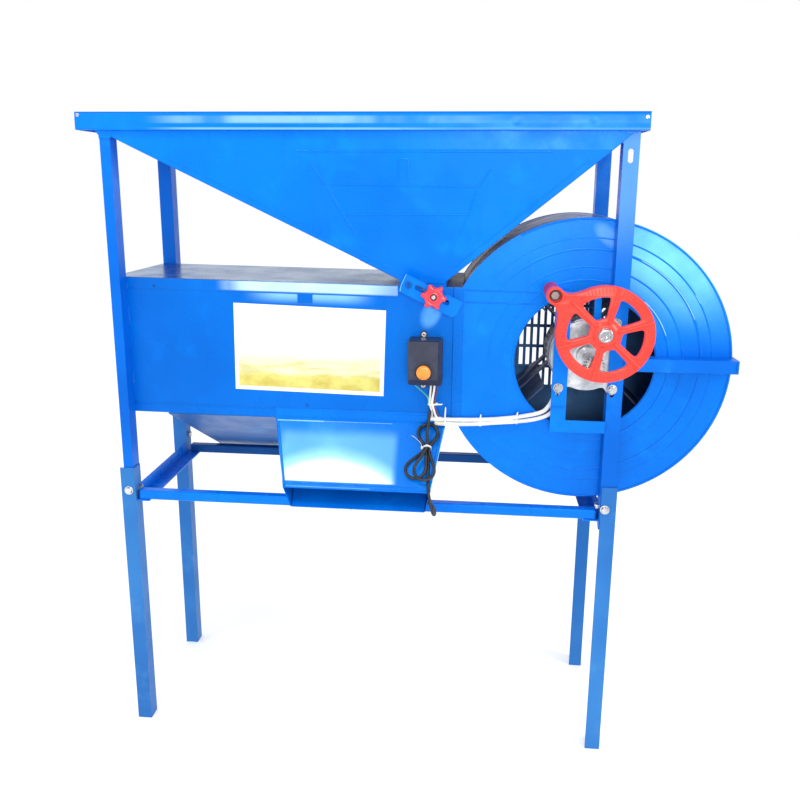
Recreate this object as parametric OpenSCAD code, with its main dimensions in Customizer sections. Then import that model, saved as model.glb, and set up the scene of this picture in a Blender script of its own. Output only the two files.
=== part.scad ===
/* [Frame] */
// Height of the hopper rim above the ground
rim_z = 1297; // [1285:1:1310]
// Clear distance between the left and right leg corners
leg_gap = 953; // [948:1:958]
// Depth from the front face of the front legs to that of the rear legs
leg_depth = 294; // [288:1:300]
// Flange width of the leg angle iron
angle_w = 30; // [30:1:31]
// Thickness of the leg angle iron
angle_t = 3; // [2.5:0.5:3]
// Side of the square tube rails
rail_w = 20; // [18:1:20]
// Top face of the front rail above the ground
rail_z = 540; // [537:1:540]

/* [Sheet metal] */
// Thickness of the hopper and duct sheet
sheet = 1.2; // [1:0.1:1.2]
// Height of the folded hopper rim
rim_h = 33; // [30:1:36]
// How far the folded rim stands out
rim_out = 8; // [6:1:10]
// Angle of the left hopper slope and of the feed gate
slope_l = 25.7; // [25.5:0.1:25.9]

/* [Fan] */
// Outer radius of the round fan housing
drum_r = 277.5; // [276:0.5:278]
// Radius of the air inlet in the front plate
inlet_r = 134; // [128:1:138]
// Number of fan blades
blades = 4; // [3:1:6]
// Outer radius of the fan blades
blade_r = 220; // [200:5:230]
// Radius of the motor body
motor_r = 71; // [70:0.5:71]

/* [Hand crank] */
// Teeth of the ring gear inside the handwheel
ring_teeth = 80; // [80:1:80]
// Teeth of the pinion on the motor shaft
pinion_teeth = 18; // [18:1:18]
// Gear module, so that a pitch radius is half of module times teeth
gear_m = 2; // [2:1:2]
// Outer radius of the handwheel
wheel_r = 86; // [85:0.5:87]
// Distance from the wheel centre to the handle
handle_r = 111.8; // [111:0.1:113]
// Length of the turning handle sleeve
handle_l = 71.7; // [60:0.1:71.7]

/* [Feed gate] */
// Length of the slot that the gate stud slides in
slot_l = 72; // [72:1:74]
// Width across the star knob
knob_d = 49; // [44:1:50]
// Number of lobes on the star knob
knob_lobes = 6; // [5:1:8]

/* [Switch and cord] */
// Width of the switch box
switch_w = 66; // [66:1:68]
// Height of the switch box
switch_h = 90; // [88:1:90]
// Depth of the switch box
switch_d = 44; // [42:1:44]
// Diameter of the power cord
cord_d = 6; // [6:0.5:6.5]

/* [Hidden] */
$fn = 64;
e = 0.05;
// shift that puts the origin under the middle of the machine
ox = 0.5;
oy = -118.53;
// leg corners: left and right inner faces
xl = -566;
xr = xl + leg_gap;
yr = leg_depth;
aw = angle_w;
at = angle_t;
t = sheet;
// front and rear faces of the duct
yf = aw;
yb = yr;
// z of the duct top and bottom edges along x (the duct hangs a little lower at the fan)
function ztop(x) = 981 - 0.0125 * (x + 400);
function zbot(x) = 704 - 0.0090 * (x + 550);
duct_x0 = -594;
seam_x = 91;
// fan housing centre, fan axis and crank axis
dx = 344.5;
dz = 834;
fx = 345;
fz = 853;
gear_c = gear_m * (ring_teeth - pinion_teeth) / 2;
cx = fx + 14;
cz = fz + sqrt(gear_c * gear_c - 14 * 14);
wheel_y = -105;
handle_a = 143;
hx = cx + handle_r * cos(handle_a);
hz = cz + handle_r * sin(handle_a);
// feed gate: middle of the slot, on the line of the left slope
gx = 51;
gz = 957.5;
gate_n = 4.5;
// hopper corners in the x-z plane
tl_x = -17;
tl_z = gz + (gx - tl_x) * tan(slope_l);
tr_x = 74;
tr_z = 987;
hl_x = -619;
hr_x = 422;
slope_r = 39.7;
fold_z = 1232;
zrb = rim_z - rim_h;
function zl(x) = tl_z + (tl_x - x) * tan(slope_l);
function zr(x) = tr_z + (x - tr_x) * tan(slope_r);
function xl_at(z) = tl_x - (z - tl_z) / tan(slope_l);
function xr_at(z) = tr_x + (z - tr_z) / tan(slope_r);
// inclination of the front plate below its fold
fp_bot = 982;
fp_a = atan(yf / (fold_z - fp_bot));
function fp_y(z) = z > fold_z ? 0 : (fold_z - z) * tan(fp_a);
// cover of the main chute: upper edge, lip and slope
hood_y = 29.1;
hood_z = 698;
lip_y = -75;
lip_z = 593;
mouth_z = 554;
hood_a = atan((hood_z - lip_z) / (hood_y - lip_y));
hood_len = (hood_z - lip_z) / sin(hood_a);
floor_a = 21.8;

module place() translate([ox, oy, 0]) children();
module blk(x0, x1, y0, y1, z0, z1) translate([x0, y0, z0]) cube([x1 - x0, y1 - y0, z1 - z0]);
// extrudes an x-z outline along y, from y0 to y1
module slab(y0, y1) translate([0, y1, 0]) rotate([90, 0, 0]) linear_extrude(height = y1 - y0) children();
// extrudes a y-z outline along x, from x0 to x1
module wall(x0, x1) translate([x0, 0, 0]) rotate([90, 0, 90]) linear_extrude(height = x1 - x0) children();
// round bar along y
module rod(x, z, y0, y1, r, fn = 48) translate([x, y0, z]) rotate([-90, 0, 0]) cylinder(h = y1 - y0, r = r, $fn = fn);
// round bar along x
module rodx(y, z, x0, x1, r, fn = 48) translate([x0, y, z]) rotate([0, 90, 0]) cylinder(h = x1 - x0, r = r, $fn = fn);
module hole_y(x, z, y0, r) rod(x, z, y0 - 6, y0 + 9, r, 24);
module hole_x(y, z, x0, r) rodx(y, z, x0 - 9, x0 + 9, r, 24);
// upright slot with round ends, cut along y
module slot_y(x, z, l, w, y0, y1) {
  rod(x, z - l / 2, y0, y1, w, 32);
  rod(x, z + l / 2, y0, y1, w, 32);
  blk(x - w, x + w, y0, y1, z - l / 2, z + l / 2);
}
// body swept along a list of points, with s sides and radius r
function unit(v) = v / max(norm(v), 0.0001);
function along(p, i) = unit(p[min(i + 1, len(p) - 1)] - p[max(i - 1, 0)]);
function side_of(d) = unit(abs(d[1]) < 0.8 ? cross(d, [0, 1, 0]) : cross(d, [1, 0, 0]));
// the side direction is carried from ring to ring, so that the tube does not twist
function carried(p, i) = i == 0 ? side_of(along(p, 0)) : let (q = carried(p, i - 1), d = along(p, i)) unit(q - d * (q * d));
function ring_pts(p, i, r, s) = let (d = along(p, i), u = carried(p, i), v = cross(d, u)) [for (k = [0:s - 1]) p[i] + r * (u * cos(360 * k / s) + v * sin(360 * k / s))];
module sweep(p, r, s = 8) polyhedron(
  points = [for (i = [0:len(p) - 1]) for (q = ring_pts(p, i, r, s)) q],
  faces = concat([[for (k = [0:s - 1]) k]], [[for (k = [s - 1:-1:0]) (len(p) - 1) * s + k]],
    [for (i = [0:len(p) - 2]) for (k = [0:s - 1]) [i * s + k, (i + 1) * s + k, (i + 1) * s + (k + 1) % s, i * s + (k + 1) % s]]));
// smooth curve through hand-set points, with n steps between neighbours
function spline(a, b, c, d, u) = 0.5 * (2 * b + (c - a) * u + (2 * a - 5 * b + 4 * c - d) * u * u + (3 * b - a - 3 * c + d) * u * u * u);
function smooth(p, n) = concat([for (i = [0:len(p) - 2]) for (k = [0:n - 1])
  spline(p[max(i - 1, 0)], p[i], p[i + 1], p[min(i + 2, len(p) - 1)], k / n)], [p[len(p) - 1]]);

/* legs */
// upright angle iron: the front flange runs to the left of the corner x, the side flange goes back
module iron(x, y, z0, z1, wf = aw) {
  blk(x - wf, x, y, y + at, z0, z1);
  blk(x - at, x, y, y + aw, z0, z1);
}
zb_f = 541;
zb_r = 563;
zb_q = 535;
module front_left_leg_upper() color("dodgerblue") place() difference() {
  iron(xl, 0, 500, zl(xl) - 2.5, 20);
  hole_y(xl - 11, zb_f, 0, 4.5);
  hole_x(17, zb_f, xl, 4.5);
}
module front_left_leg_lower() color("lightsteelblue") place() difference() {
  iron(xl + at, -at, 0, 590);
  hole_y(xl - 11, zb_f, 0, 4.5);
  hole_x(17, zb_f, xl, 4.5);
}
module front_right_leg_upper() color("dodgerblue") place() difference() {
  union() {
    blk(xr, xr + 29, 0, at, 500, zrb - 1);
    blk(xr, xr + at, 0, aw, 500, zr(xr) - 2.5);
  }
  // side flange is cut away round the motor
  blk(xr - 1, xr + at + 1, at, aw + 1, 774, 932);
  // foot of the side flange is cut on a slant
  wall(xr - 1, xr + at + 1) polygon([[at + 1, 499], [aw + 1, 499], [aw + 1, 514]]);
  // hanging slot
  slot_y(xr + 14, 1221, 15, 5, -1, at + 1);
  hole_y(xr + 10, zb_f + 3, 0, 4.5);
  hole_x(17, zb_f + 3, xr, 4.5);
  hole_y(396, 917, 0, 4.2);
  slot_y(396, 783, 12, 4.2, -1, at + 1);
}
module front_right_leg_lower() color("lightsteelblue") place() difference() {
  iron(xr + 32, -at, 0, 590);
  hole_y(xr + 10, zb_f + 3, 0, 4.5);
}
module rear_left_leg_upper() color("dodgerblue") place() difference() {
  iron(xl, yr, 500, zrb - 1);
  hole_x(yr + 14, zb_r, xl, 4.5);
}
module rear_left_leg_lower() color("lightsteelblue") place() difference() {
  iron(xl + at, yr - at, 0, 610);
  hole_x(yr + 14, zb_r, xl, 4.5);
}
module rear_right_leg_upper() color("dodgerblue") place() difference() {
  union() {
    blk(xr, xr + 29, yr, yr + at, 500, zrb - 1);
    blk(xr, xr + at, yr, yr + aw, 500, zrb - 1);
  }
  hole_y(xr + 16, zb_q, yr, 4.5);
}
module rear_right_leg_lower() color("lightsteelblue") place() difference() {
  iron(xr + 32, yr - at, 0, 555, 29);
  hole_y(xr + 16, zb_q, yr, 4.5);
}

/* rails */
// square tube with rounded corners along x
module tube_x(x0, x1, y0, z0, w, th) translate([x0, y0 + w / 2, z0 + w / 2]) rotate([90, 0, 90]) linear_extrude(height = x1 - x0) difference() {
  r = 3;
  union() {
    square([w - 2 * r, w], center = true);
    square([w, w - 2 * r], center = true);
    for (i = [-1, 1], j = [-1, 1]) translate([i * (w / 2 - r), j * (w / 2 - r)]) circle(r = r, $fn = 24);
  }
  square([w - 2 * th, w - 2 * th], center = true);
}
module front_rail() color("dodgerblue") place() tube_x(xl + 11, xr - 8, 2, rail_z - rail_w, rail_w, 1.5);
module rear_rail() color("dodgerblue") place() tube_x(xl + 11, xr - 8, yr + 2, rail_z - rail_w, rail_w, 1.5);
module left_rail() color("dodgerblue") place() {
  blk(xl, xl + at, aw - at, yr - at, 517, 547);
  blk(xl + at, xl + aw, 1, yr + 23, 517, rail_z - rail_w);
}
module right_rail() color("dodgerblue") place() {
  blk(xr, xr + at, aw, yr, 517, 547);
  blk(xr - aw, xr, 1, yr + 23, 517, rail_z - rail_w);
}
/* brace round the fan housing */
module brace_front_bar() color("dodgerblue") place() {
  blk(xr + 29, 623, 0, at, 825, 850);
  blk(xr + 29, 623, at, yf, 847, 850);
}
module brace_side_bar() color("dodgerblue") place() blk(623, 626, 0, yr + at, 825, 850);
module brace_rear_bar() color("dodgerblue") place() blk(xr + 29, 623, yr, yr + at, 825, 850);

/* bolts */
// hexagon bolt along y: head in front at y0, nut behind the grip
module bolt_y(x, z, y0, grip, r = 4, hw = 7.2) {
  rod(x, z, y0 - 5, y0, hw, 6);
  rod(x, z, y0 - 1, y0 + grip + 9, r, 24);
  rod(x, z, y0 + grip, y0 + grip + 6, hw, 6);
}
// hexagon bolt along x: head on the side s
module bolt_x(y, z, x0, grip, s) {
  rodx(y, z, s > 0 ? x0 : x0 - 5, s > 0 ? x0 + 5 : x0, 7.2, 6);
  rodx(y, z, s > 0 ? x0 - grip - 7 : x0 - 1, s > 0 ? x0 + 1 : x0 + grip + 7, 4, 24);
  rodx(y, z, s > 0 ? x0 - grip - 6 : x0 + grip, s > 0 ? x0 - grip : x0 + grip + 6, 7.2, 6);
}
module leg_bolts() color("silver") place() {
  bolt_y(xl - 11, zb_f, -at, 2 * at);
  bolt_x(17, zb_f, xl - at, 2 * at, -1);
  bolt_y(xr + 10, zb_f + 3, -at, 2 * at);
  bolt_x(17, zb_f + 3, xr + at, at, 1);
  bolt_x(yr + 14, zb_r, xl - at, 2 * at, -1);
  bolt_y(xr + 16, zb_q, yr - at, 2 * at);
}

/* hopper */
module hopper_front_plate() color("dodgerblue") place() {
  // upright part above the fold, and below it the part that leans in to the throat
  intersection() {
    slab(-t - 4, yf + 6) polygon([[tl_x, fp_bot], [tr_x, fp_bot], [tr_x, tr_z], [hr_x, zr(hr_x)], [hr_x, rim_z], [hl_x, rim_z], [hl_x, zl(hl_x)], [tl_x, tl_z]]);
    wall(hl_x - 5, hr_x + 5) polygon([[0, rim_z + 5], [-t, rim_z + 5], [-t, fold_z - t * tan(fp_a / 2)],
      [(fold_z - fp_bot + 5) * tan(fp_a) - t / cos(fp_a), fp_bot - 5], [(fold_z - fp_bot + 5) * tan(fp_a), fp_bot - 5], [0, fold_z]]);
  }
  // folded rim
  blk(hl_x - rim_out, hr_x + rim_out, -rim_out, -rim_out + t, zrb, rim_z);
  blk(hl_x - rim_out, hr_x + rim_out, -rim_out, 0, rim_z - t, rim_z);
  blk(hl_x - rim_out, hr_x + rim_out, -rim_out, -3, zrb, zrb + t);
}
module hopper_rear_plate() color("dodgerblue") place() {
  slab(yb - t, yb) polygon([[tl_x, ztop(tl_x)], [tr_x, ztop(tr_x)], [tr_x, tr_z], [hr_x, zr(hr_x)], [hr_x, rim_z], [hl_x, rim_z], [hl_x, zl(hl_x)], [tl_x, tl_z]]);
  blk(hl_x - rim_out, hr_x + rim_out, yb + rim_out - t, yb + rim_out, zrb, rim_z);
  blk(hl_x - rim_out, hr_x + rim_out, yb, yb + rim_out, rim_z - t, rim_z);
}
// sloping plate: s is the distance up the slope, g the sign of its direction along x
module slope_plate(x0, z0, ang, len, g) translate([x0, 0, z0]) rotate([0, -g * ang, 0]) translate([0, 0, -t]) linear_extrude(height = t)
  polygon([for (q = [[0, 1], [(fold_z - z0) / sin(ang), 1], [len, 1], [len, 0], [0, 0]]) [g * q[0], q[1] == 0 ? yb - t : max(3.2, fp_y(z0 + q[0] * sin(ang)) + 0.1)]]);
module hopper_left_slope() color("dodgerblue") place() {
  slope_plate(tl_x, tl_z, slope_l, (tl_x - hl_x) / cos(slope_l), -1);
  blk(hl_x, hl_x + t, 0, yb - t, zl(hl_x) - 1, rim_z);
  blk(hl_x - rim_out, hl_x - rim_out + t, 0, yb, zrb, rim_z);
  blk(hl_x - rim_out, hl_x, 0, yb, rim_z - t, rim_z);
}
module hopper_right_slope() color("dodgerblue") place() {
  slope_plate(tr_x, tr_z, slope_r, (hr_x - tr_x) / cos(slope_r), 1);
  blk(hr_x - t, hr_x, 0, yb - t, zr(hr_x) - 1, rim_z);
  blk(hr_x + rim_out - t, hr_x + rim_out, 0, yb, zrb, rim_z);
  blk(hr_x, hr_x + rim_out, 0, yb, rim_z - t, rim_z);
  blk(tr_x, tr_x + t, 42, yb - t, 948, tr_z + 0.5);
}

/* duct */
// along the gate: local x runs down to the right, local z stands square to the slope
module gate() translate([gx, 0, gz]) rotate([0, slope_l, 0]) children();
module gate_slot(y0, y1) gate() {
  for (x = [-35.4, slot_l - 44.6]) rod(x, gate_n, y0, y1, 4.6, 32);
  blk(-35.4, slot_l - 44.6, y0, y1, gate_n - 4.6, gate_n + 4.6);
}
module duct_front_panel() color("dodgerblue") place() difference() {
  union() {
    slab(yf, yf + t) polygon([[duct_x0, zbot(duct_x0)], [seam_x, zbot(seam_x)], [seam_x, ztop(seam_x)], [tr_x, ztop(tr_x)], [tr_x, fp_bot + 5], [tl_x + e, fp_bot + 5], [tl_x + e, ztop(tl_x)], [duct_x0, ztop(duct_x0)]]);
    slab(yf, yb - t) polygon([[duct_x0, zbot(duct_x0)], [-497, zbot(-497)], [-497, zbot(-497) + t], [duct_x0, zbot(duct_x0) + t]]);
  }
  gate_slot(yf - 1, yf + t + 1);
}
module duct_rear_panel() color("dodgerblue") place() slab(yb - t, yb) polygon([[duct_x0, zbot(duct_x0)], [seam_x, zbot(seam_x)], [seam_x, ztop(seam_x)], [duct_x0, ztop(duct_x0)]]);
module duct_top_cover() color("dimgray") place() slab(yf, yb) polygon([[duct_x0, ztop(duct_x0)], [tl_x, ztop(tl_x)], [tl_x, ztop(tl_x) + t], [duct_x0, ztop(duct_x0) + t]]);
module divider_plate() color("steelblue") place() slab(yf + t, yb - t) polygon([[-268, 703], [-266.8, 703], [-286.8, 765], [-288, 765]]);

/* chutes */
module main_chute_floor() color("dodgerblue") place() {
  translate([0, yb - t, 701]) rotate([floor_a, 0, 0]) translate([0, 0, -t]) linear_extrude(height = t) polygon([[-266.4, -0.6], [77.4, -0.6], [44.4, -396], [-215.4, -396]]);
  blk(-266, 77, yb - 2 * t, yb - t, 699.5, 716);
}
// side wall of the main chute, leaning inwards by the angle a
module chute_side(x, a, x0) translate([x, 0, hood_z]) rotate([0, a, 0]) translate([0, 0, -hood_z]) wall(x0, x0 + t)
  polygon([for (q = [[hood_y - 0.4, hood_z], [yb - t, hood_z], [lip_y, mouth_z], [lip_y, lip_z]]) [q[0], hood_z + (q[1] - hood_z) / cos(a)]]);
module main_chute_hood() color("dodgerblue") place() {
  translate([0, hood_y, hood_z]) rotate([hood_a, 0, 0]) translate([0, 0, -t]) linear_extrude(height = t) polygon([[-268, 0], [79, 0], [55, -hood_len], [-231, -hood_len]]);
  chute_side(-268, -19.3, 0);
  chute_side(79, 12.7, -t);
  // flange on the duct panel
  blk(-268, 79, yf - t, yf, hood_z - 1.5, 721);
}
module rear_chute_floor() color("dodgerblue") place() {
  translate([0, yf + t, 702]) rotate([-29, 0, 0]) translate([0, 0, -t]) linear_extrude(height = t) polygon([[-495.4, 0.8], [-271.6, 0.8], [-278.6, 364], [-488.4, 364]]);
  blk(-495, -272, yf + t, yf + 2 * t, 700.5, 716);
}
module rear_chute_hood() color("dodgerblue") place() {
  slab(yb, yb + t) polygon([[-497, 699], [-270, 699], [-270, 722], [-497, 722]]);
  translate([0, yb, 700]) rotate([-65.7, 0, 0]) linear_extrude(height = t) polygon([[-497, 0], [-270, 0], [-277, 136], [-490, 136]]);
  for (x = [-497, -270 - t]) wall(x, x + t) polygon([[yf + t + 0.2, 701], [yb + t, 701], [yb + 56.5, 576], [yb + 56.5, 525.4]]);
}

/* feed gate */
module gate_bracket() color("dodgerblue") place() difference() {
  union() {
    gate() slab(-2, 0) polygon([[-66, -17], [48, -17], [54, -8], [54, 19], [-66, 19]]);
    gate() blk(-66, 46, -e, yf, -17, -15);
  }
  gate_slot(-3, 1);
  gate() rod(-53, 1.7, -3, 1, 3.2, 24);
}
module gate_plate() color("steelblue") place() gate() {
  blk(-160, 2, 33, yb - 3, -3, -1.8);
  difference() {
    blk(-26, 8, 33, 34.5, -3, 11);
    rod(0, gate_n, 32, 36, 4.05, 32);
  }
}
module gate_stud() color("silver") place() gate() {
  rod(0, gate_n, -19, 41, 4, 48);
  rod(0, gate_n, 34.5, 40, 6, 6);
}
module star_knob() color("tomato") place() gate() difference() {
  union() {
    slab(-20, -4) translate([0, gate_n]) {
      circle(r = knob_d / 2 - 6.5);
      for (k = [0:knob_lobes - 1]) rotate(360 * k / knob_lobes + 15.7) {
        translate([knob_d / 2 - 4.6, 0]) circle(r = 4.6, $fn = 32);
        polygon([[14, -9.4], [knob_d / 2 - 3.6, -4.45], [knob_d / 2 - 3.6, 4.45], [14, 9.4]]);
      }
    }
    rod(0, gate_n, -4 - e, -2.3, 9, 48);
  }
  rod(0, gate_n, -21, -2, 4.05, 48);
  rod(0, gate_n, -21, -14, 6, 48);
}

/* fan housing */
module drum_outline() difference() {
  union() {
    translate([dx, dz]) circle(r = drum_r, $fn = 180);
    polygon([[seam_x - 9, zbot(seam_x - 9)], [dx, zbot(dx)], [dx, ztop(dx)], [seam_x - 9, ztop(seam_x - 9)]]);
  }
  translate([seam_x - 99.9, 300]) square([100, 1200]);
}
module drum_front_plate() color("dodgerblue") place() slab(yf, yf + t) difference() {
  drum_outline();
  translate([dx, dz]) circle(r = inlet_r, $fn = 120);
}
module drum_rear_plate() color("dodgerblue") place() slab(yb - t, yb) difference() {
  drum_outline();
  for (i = [-8:8], j = [-3:3]) if (norm([abs(i * 15) + 5.5, abs(j * 47) + 21.5]) < 136) translate([dx + i * 15 - 5.5, dz + j * 47 - 21.5]) square([11, 43]);
}
module drum_wrap() color("dimgray") place() slab(yf + t, yb - t) {
  difference() {
    translate([dx, dz]) circle(r = drum_r - 1, $fn = 180);
    translate([dx, dz]) circle(r = drum_r - 1 - t, $fn = 180);
    polygon([[-50, 699.4], [dx - 200, 699.4], [dx - 200, 973.6], [-50, 973.6]]);
  }
  polygon([[tr_x + t + 0.2, 973.5], [107, 973.5], [107, 973.5 + t], [tr_x + t + 0.2, 973.5 + t]]);
  polygon([[79.1, 698.4], [103, 698.4], [103, 698.4 + t], [79.1, 698.4 + t]]);
}
module fan_hub() color("gray") place() difference() {
  union() {
    rod(fx, fz, 150, 258, 24, 64);
    for (k = [0:blades - 1]) translate([fx, 0, fz]) rotate([0, 360 * k / blades + 45, 0]) {
      blk(20, 200, 165, 190, -4, 0);
      blk(20, 200, 228, 253, -4, 0);
    }
  }
  rod(fx, fz, 149, 259, 8, 64);
}
module fan_blades() color("lightgray") place() for (k = [0:blades - 1]) translate([fx, 0, fz]) rotate([0, 360 * k / blades + 45, 0]) blk(105, blade_r, 48, 280, 0, 1.5);

/* motor and gears */
function inv(a) = tan(a) - a * PI / 180;
tooth_w = 2.84;
// half angle of a tooth of n teeth with pitch thickness w, at the radius r
function half_tooth(n, w, r) = let (p = gear_m * n / 2, b = p * cos(20)) (w / (2 * p) + inv(20) - (r > b ? inv(acos(b / r)) : 0)) * 180 / PI;
function polar(r, a) = [r * cos(a), r * sin(a)];
// teeth pointing outwards: rs are the radii of the flank points from root to tip
module teeth(n, w, rs, a0) polygon([for (i = [0:n - 1]) let (a = a0 + 360 * i / n) for (q = concat([for (r = rs) [r, -half_tooth(n, w, r)]], [for (k = [len(rs) - 1:-1:0]) [rs[k], half_tooth(n, w, rs[k])]])) polar(q[0], a + q[1])]);
mesh_a = atan2(fz - cz, fx - cx);
module motor_body() color("silver") place() difference() {
  union() {
    rod(fx, fz, 5, 108, motor_r, 96);
    rod(fx, fz, 107, 112, motor_r - 8, 96);
    rod(fx, fz, -4, 9, 20, 48);
    slab(at, 9) translate([fx, fz]) {
      circle(r = motor_r - 2, $fn = 96);
      for (i = [-1, 1], j = [-1, 1]) {
        translate([i * 51, j * 64]) circle(r = 12, $fn = 32);
        rotate(atan2(j * 64, i * 51)) translate([40, -11]) square([norm([51, 64]) - 40, 22]);
      }
    }
  }
  for (i = [-1, 1], j = [-1, 1]) hole_y(fx + i * 51, fz + j * 64, 3, 4.2);
  rod(fx, fz, -5, 113, 8.05, 64);
}
module motor_shaft() color("silver") place() {
  rod(fx, fz, -96, 258, 8, 64);
}
module pinion() color("gray") place() difference() {
  union() {
    slab(-95, -84) translate([fx, fz]) teeth(pinion_teeth, tooth_w, [15.6, 17, 18, 19, 19.8], mesh_a);
    rod(fx, fz, -84 - e, -74, 13, 48);
  }
  rod(fx, fz, -97, -73, 8, 64);
}
module motor_bar() color("dodgerblue") place() difference() {
  union() {
    blk(282, 311, 0, at, 751, 975);
    blk(282, 311, 0, yf, 972, 975);
  }
  hole_y(294, 917, 0, 4.2);
  slot_y(294, 783, 12, 4.2, -1, at + 1);
}
module motor_cross_plate() color("dodgerblue") place() {
  blk(282, xr, 0, at, 700, 724);
  blk(282, 311, 0, at, 724 - e, 751);
}
module motor_bolts() color("silver") place() for (x = [294, 396], z = [789, 917]) {
  rod(x, z, -5, 0, 7.2, 6);
  rod(x, z, -1, 18, 4, 24);
  rod(x, z, 9, 15, 7.2, 6);
}

/* crank */
module crank_bracket() color("dodgerblue") place() difference() {
  union() {
    blk(353, 365, -6, 0, 897, 972);
    rod(cx, cz, -10, 0, 13, 48);
    blk(353, 365, -6, yf, 972, 978);
    blk(365 - e, 400, -6, 0, 966, 978);
  }
  rod(cx, cz, -11, 1, 8, 64);
}
module crank_axle() color("silver") place() {
  rod(cx, cz, -110, 0, 8, 64);
  rod(cx, cz, -114, -110 + e, 12.5, 48);
  rod(cx, cz, -87.6, -82, 12, 48);
}
module hub_bearing() color("silver") place() difference() {
  rod(cx, cz, -109.5, -96, 13, 64);
  rod(cx, cz, -111, -95, 8.05, 64);
}
module handwheel() color("tomato") place() difference() {
  union() {
    // web with six windows
    slab(-105, -97) translate([cx, cz]) difference() {
      circle(r = wheel_r, $fn = 144);
      difference() {
        circle(r = 68.6, $fn = 96);
        circle(r = 27, $fn = 64);
        for (k = [0:5]) rotate(17 + 60 * k) translate([0, -6.5]) square([80, 13]);
      }
    }
    // ring gear behind the web
    slab(-97 - e, -84) translate([cx, cz]) difference() {
      circle(r = wheel_r, $fn = 144);
      teeth(ring_teeth, PI * gear_m - tooth_w, [78.2, 80, 82.4], mesh_a);
    }
    // rim bead and ribs on the front
    slab(-107, -105 + e) translate([cx, cz]) {
      difference() {
        circle(r = wheel_r, $fn = 144);
        circle(r = wheel_r - 5, $fn = 144);
      }
      for (k = [0:5]) rotate(17 + 60 * k) translate([20, -2.5]) square([62, 5]);
    }
    rod(cx, cz, -109, -88, 19, 64);
    // ear with the handle boss
    slab(-105, -85) {
      translate([hx, hz]) circle(r = 15, $fn = 48);
      translate([cx, cz]) rotate(handle_a) translate([wheel_r - 2.2, -13]) square([handle_r - wheel_r + 2, 26]);
    }
  }
  rod(cx, cz, -111, -96, 13, 64);
  rod(cx, cz, -97, -87, 8.4, 64);
  rod(hx, hz, -106, -93, 11.5, 48);
  rod(hx, hz, -94, -84, 5.02, 32);
}
module handle_sleeve() color("mediumvioletred") place() translate([hx, 0, hz]) rotate([-90, 0, 0]) translate([0, 0, -13 - handle_l]) rotate_extrude($fn = 64)
  polygon([[5.05, 0], [12.5, 0], [14, 2], [14, handle_l * 0.3], [13.2, handle_l * 0.5], [14, handle_l * 0.7], [14, handle_l - 2], [12.5, handle_l], [5.05, handle_l]]);
module handle_bolt() color("silver") place() {
  rod(hx, hz, -94, -9, 5, 48);
  rod(hx, hz, -99, -93, 7.5, 6);
  rod(hx, hz, -12.7, -9, 8, 48);
}

/* switch */
sx0 = 5;
sz0 = 787;
sx1 = sx0 + switch_w;
sz1 = sz0 + switch_h;
sy0 = yf - switch_d;
bx = 36;
bz = 816;
// rectangle with rounded corners in the x-z plane
function round_rect(x0, x1, z0, z1, r) = [for (q = [[x1 - r, z1 - r, 0], [x0 + r, z1 - r, 90], [x0 + r, z0 + r, 180], [x1 - r, z0 + r, 270]], a = [0:15:90]) [q[0] + r * cos(q[2] + a), q[1] + r * sin(q[2] + a)]];
module switch_box() color("midnightblue") place() difference() {
  union() {
    slab(4, yf) polygon(round_rect(sx0, sx1, sz0, sz1, 5));
    // ears for the fixing screws
    for (z = [sz1 + 5, sz0 - 8]) rod(33, z, yf - 4, yf, 7, 48);
    blk(26, 40, yf - 4, yf, sz1 - 6, sz1 + 5);
    blk(26, 40, yf - 4, yf, sz0 - 8, sz0 + 6);
    // tapered sleeve round the outgoing cord
    translate([50, 16, sz0 - 20]) cylinder(h = 20 + e, r1 = 4.2, r2 = 5.6, $fn = 32);
  }
  blk(sx0 + 2.5, sx1 - 2.5, 3, yf - 2.5, sz0 + 2.5, sz1 - 2.5);
  hole_y(33, sz1 + 5, yf, 2.6);
  hole_y(33, sz0 - 8, yf, 2.6);
}
module switch_cover() color("midnightblue") place() difference() {
  intersection() {
    slab(sy0, 4) polygon(round_rect(sx0, sx1, sz0, sz1, 5));
    translate([0, 0, sz0]) linear_extrude(height = switch_h) polygon([[sx0, 4], [sx1, 4], [sx1, sy0 + 9], [sx1 - 8, sy0], [sx0 + 3, sy0], [sx0, sy0 + 4]]);
    wall(sx0, sx1) polygon([[4, sz0], [4, sz1], [sy0 + 3, sz1], [sy0, sz1 - 2], [sy0, sz0 + 13], [sy0 + 9, sz0]]);
  }
  blk(sx0 + 2.5, sx1 - 2.5, sy0 + 9, 5, sz0 + 2.5, sz1 - 2.5);
  blk(sx0 + 8, sx1 - 10, sy0 + 2.5, 5, sz0 + 10, sz1 - 6);
  rod(bx, bz, sy0 - 1, sy0 + 4, 8.06, 48);
}
module switch_button() color("orange") place() {
  rod(bx, bz, sy0 - 10, sy0 - 3, 13.5, 64);
  rod(bx, bz, sy0 - 3 - e, sy0 + 16, 8, 64);
  rod(bx, bz, sy0 + 2.9, sy0 + 4.4, 10, 48);
}
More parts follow.
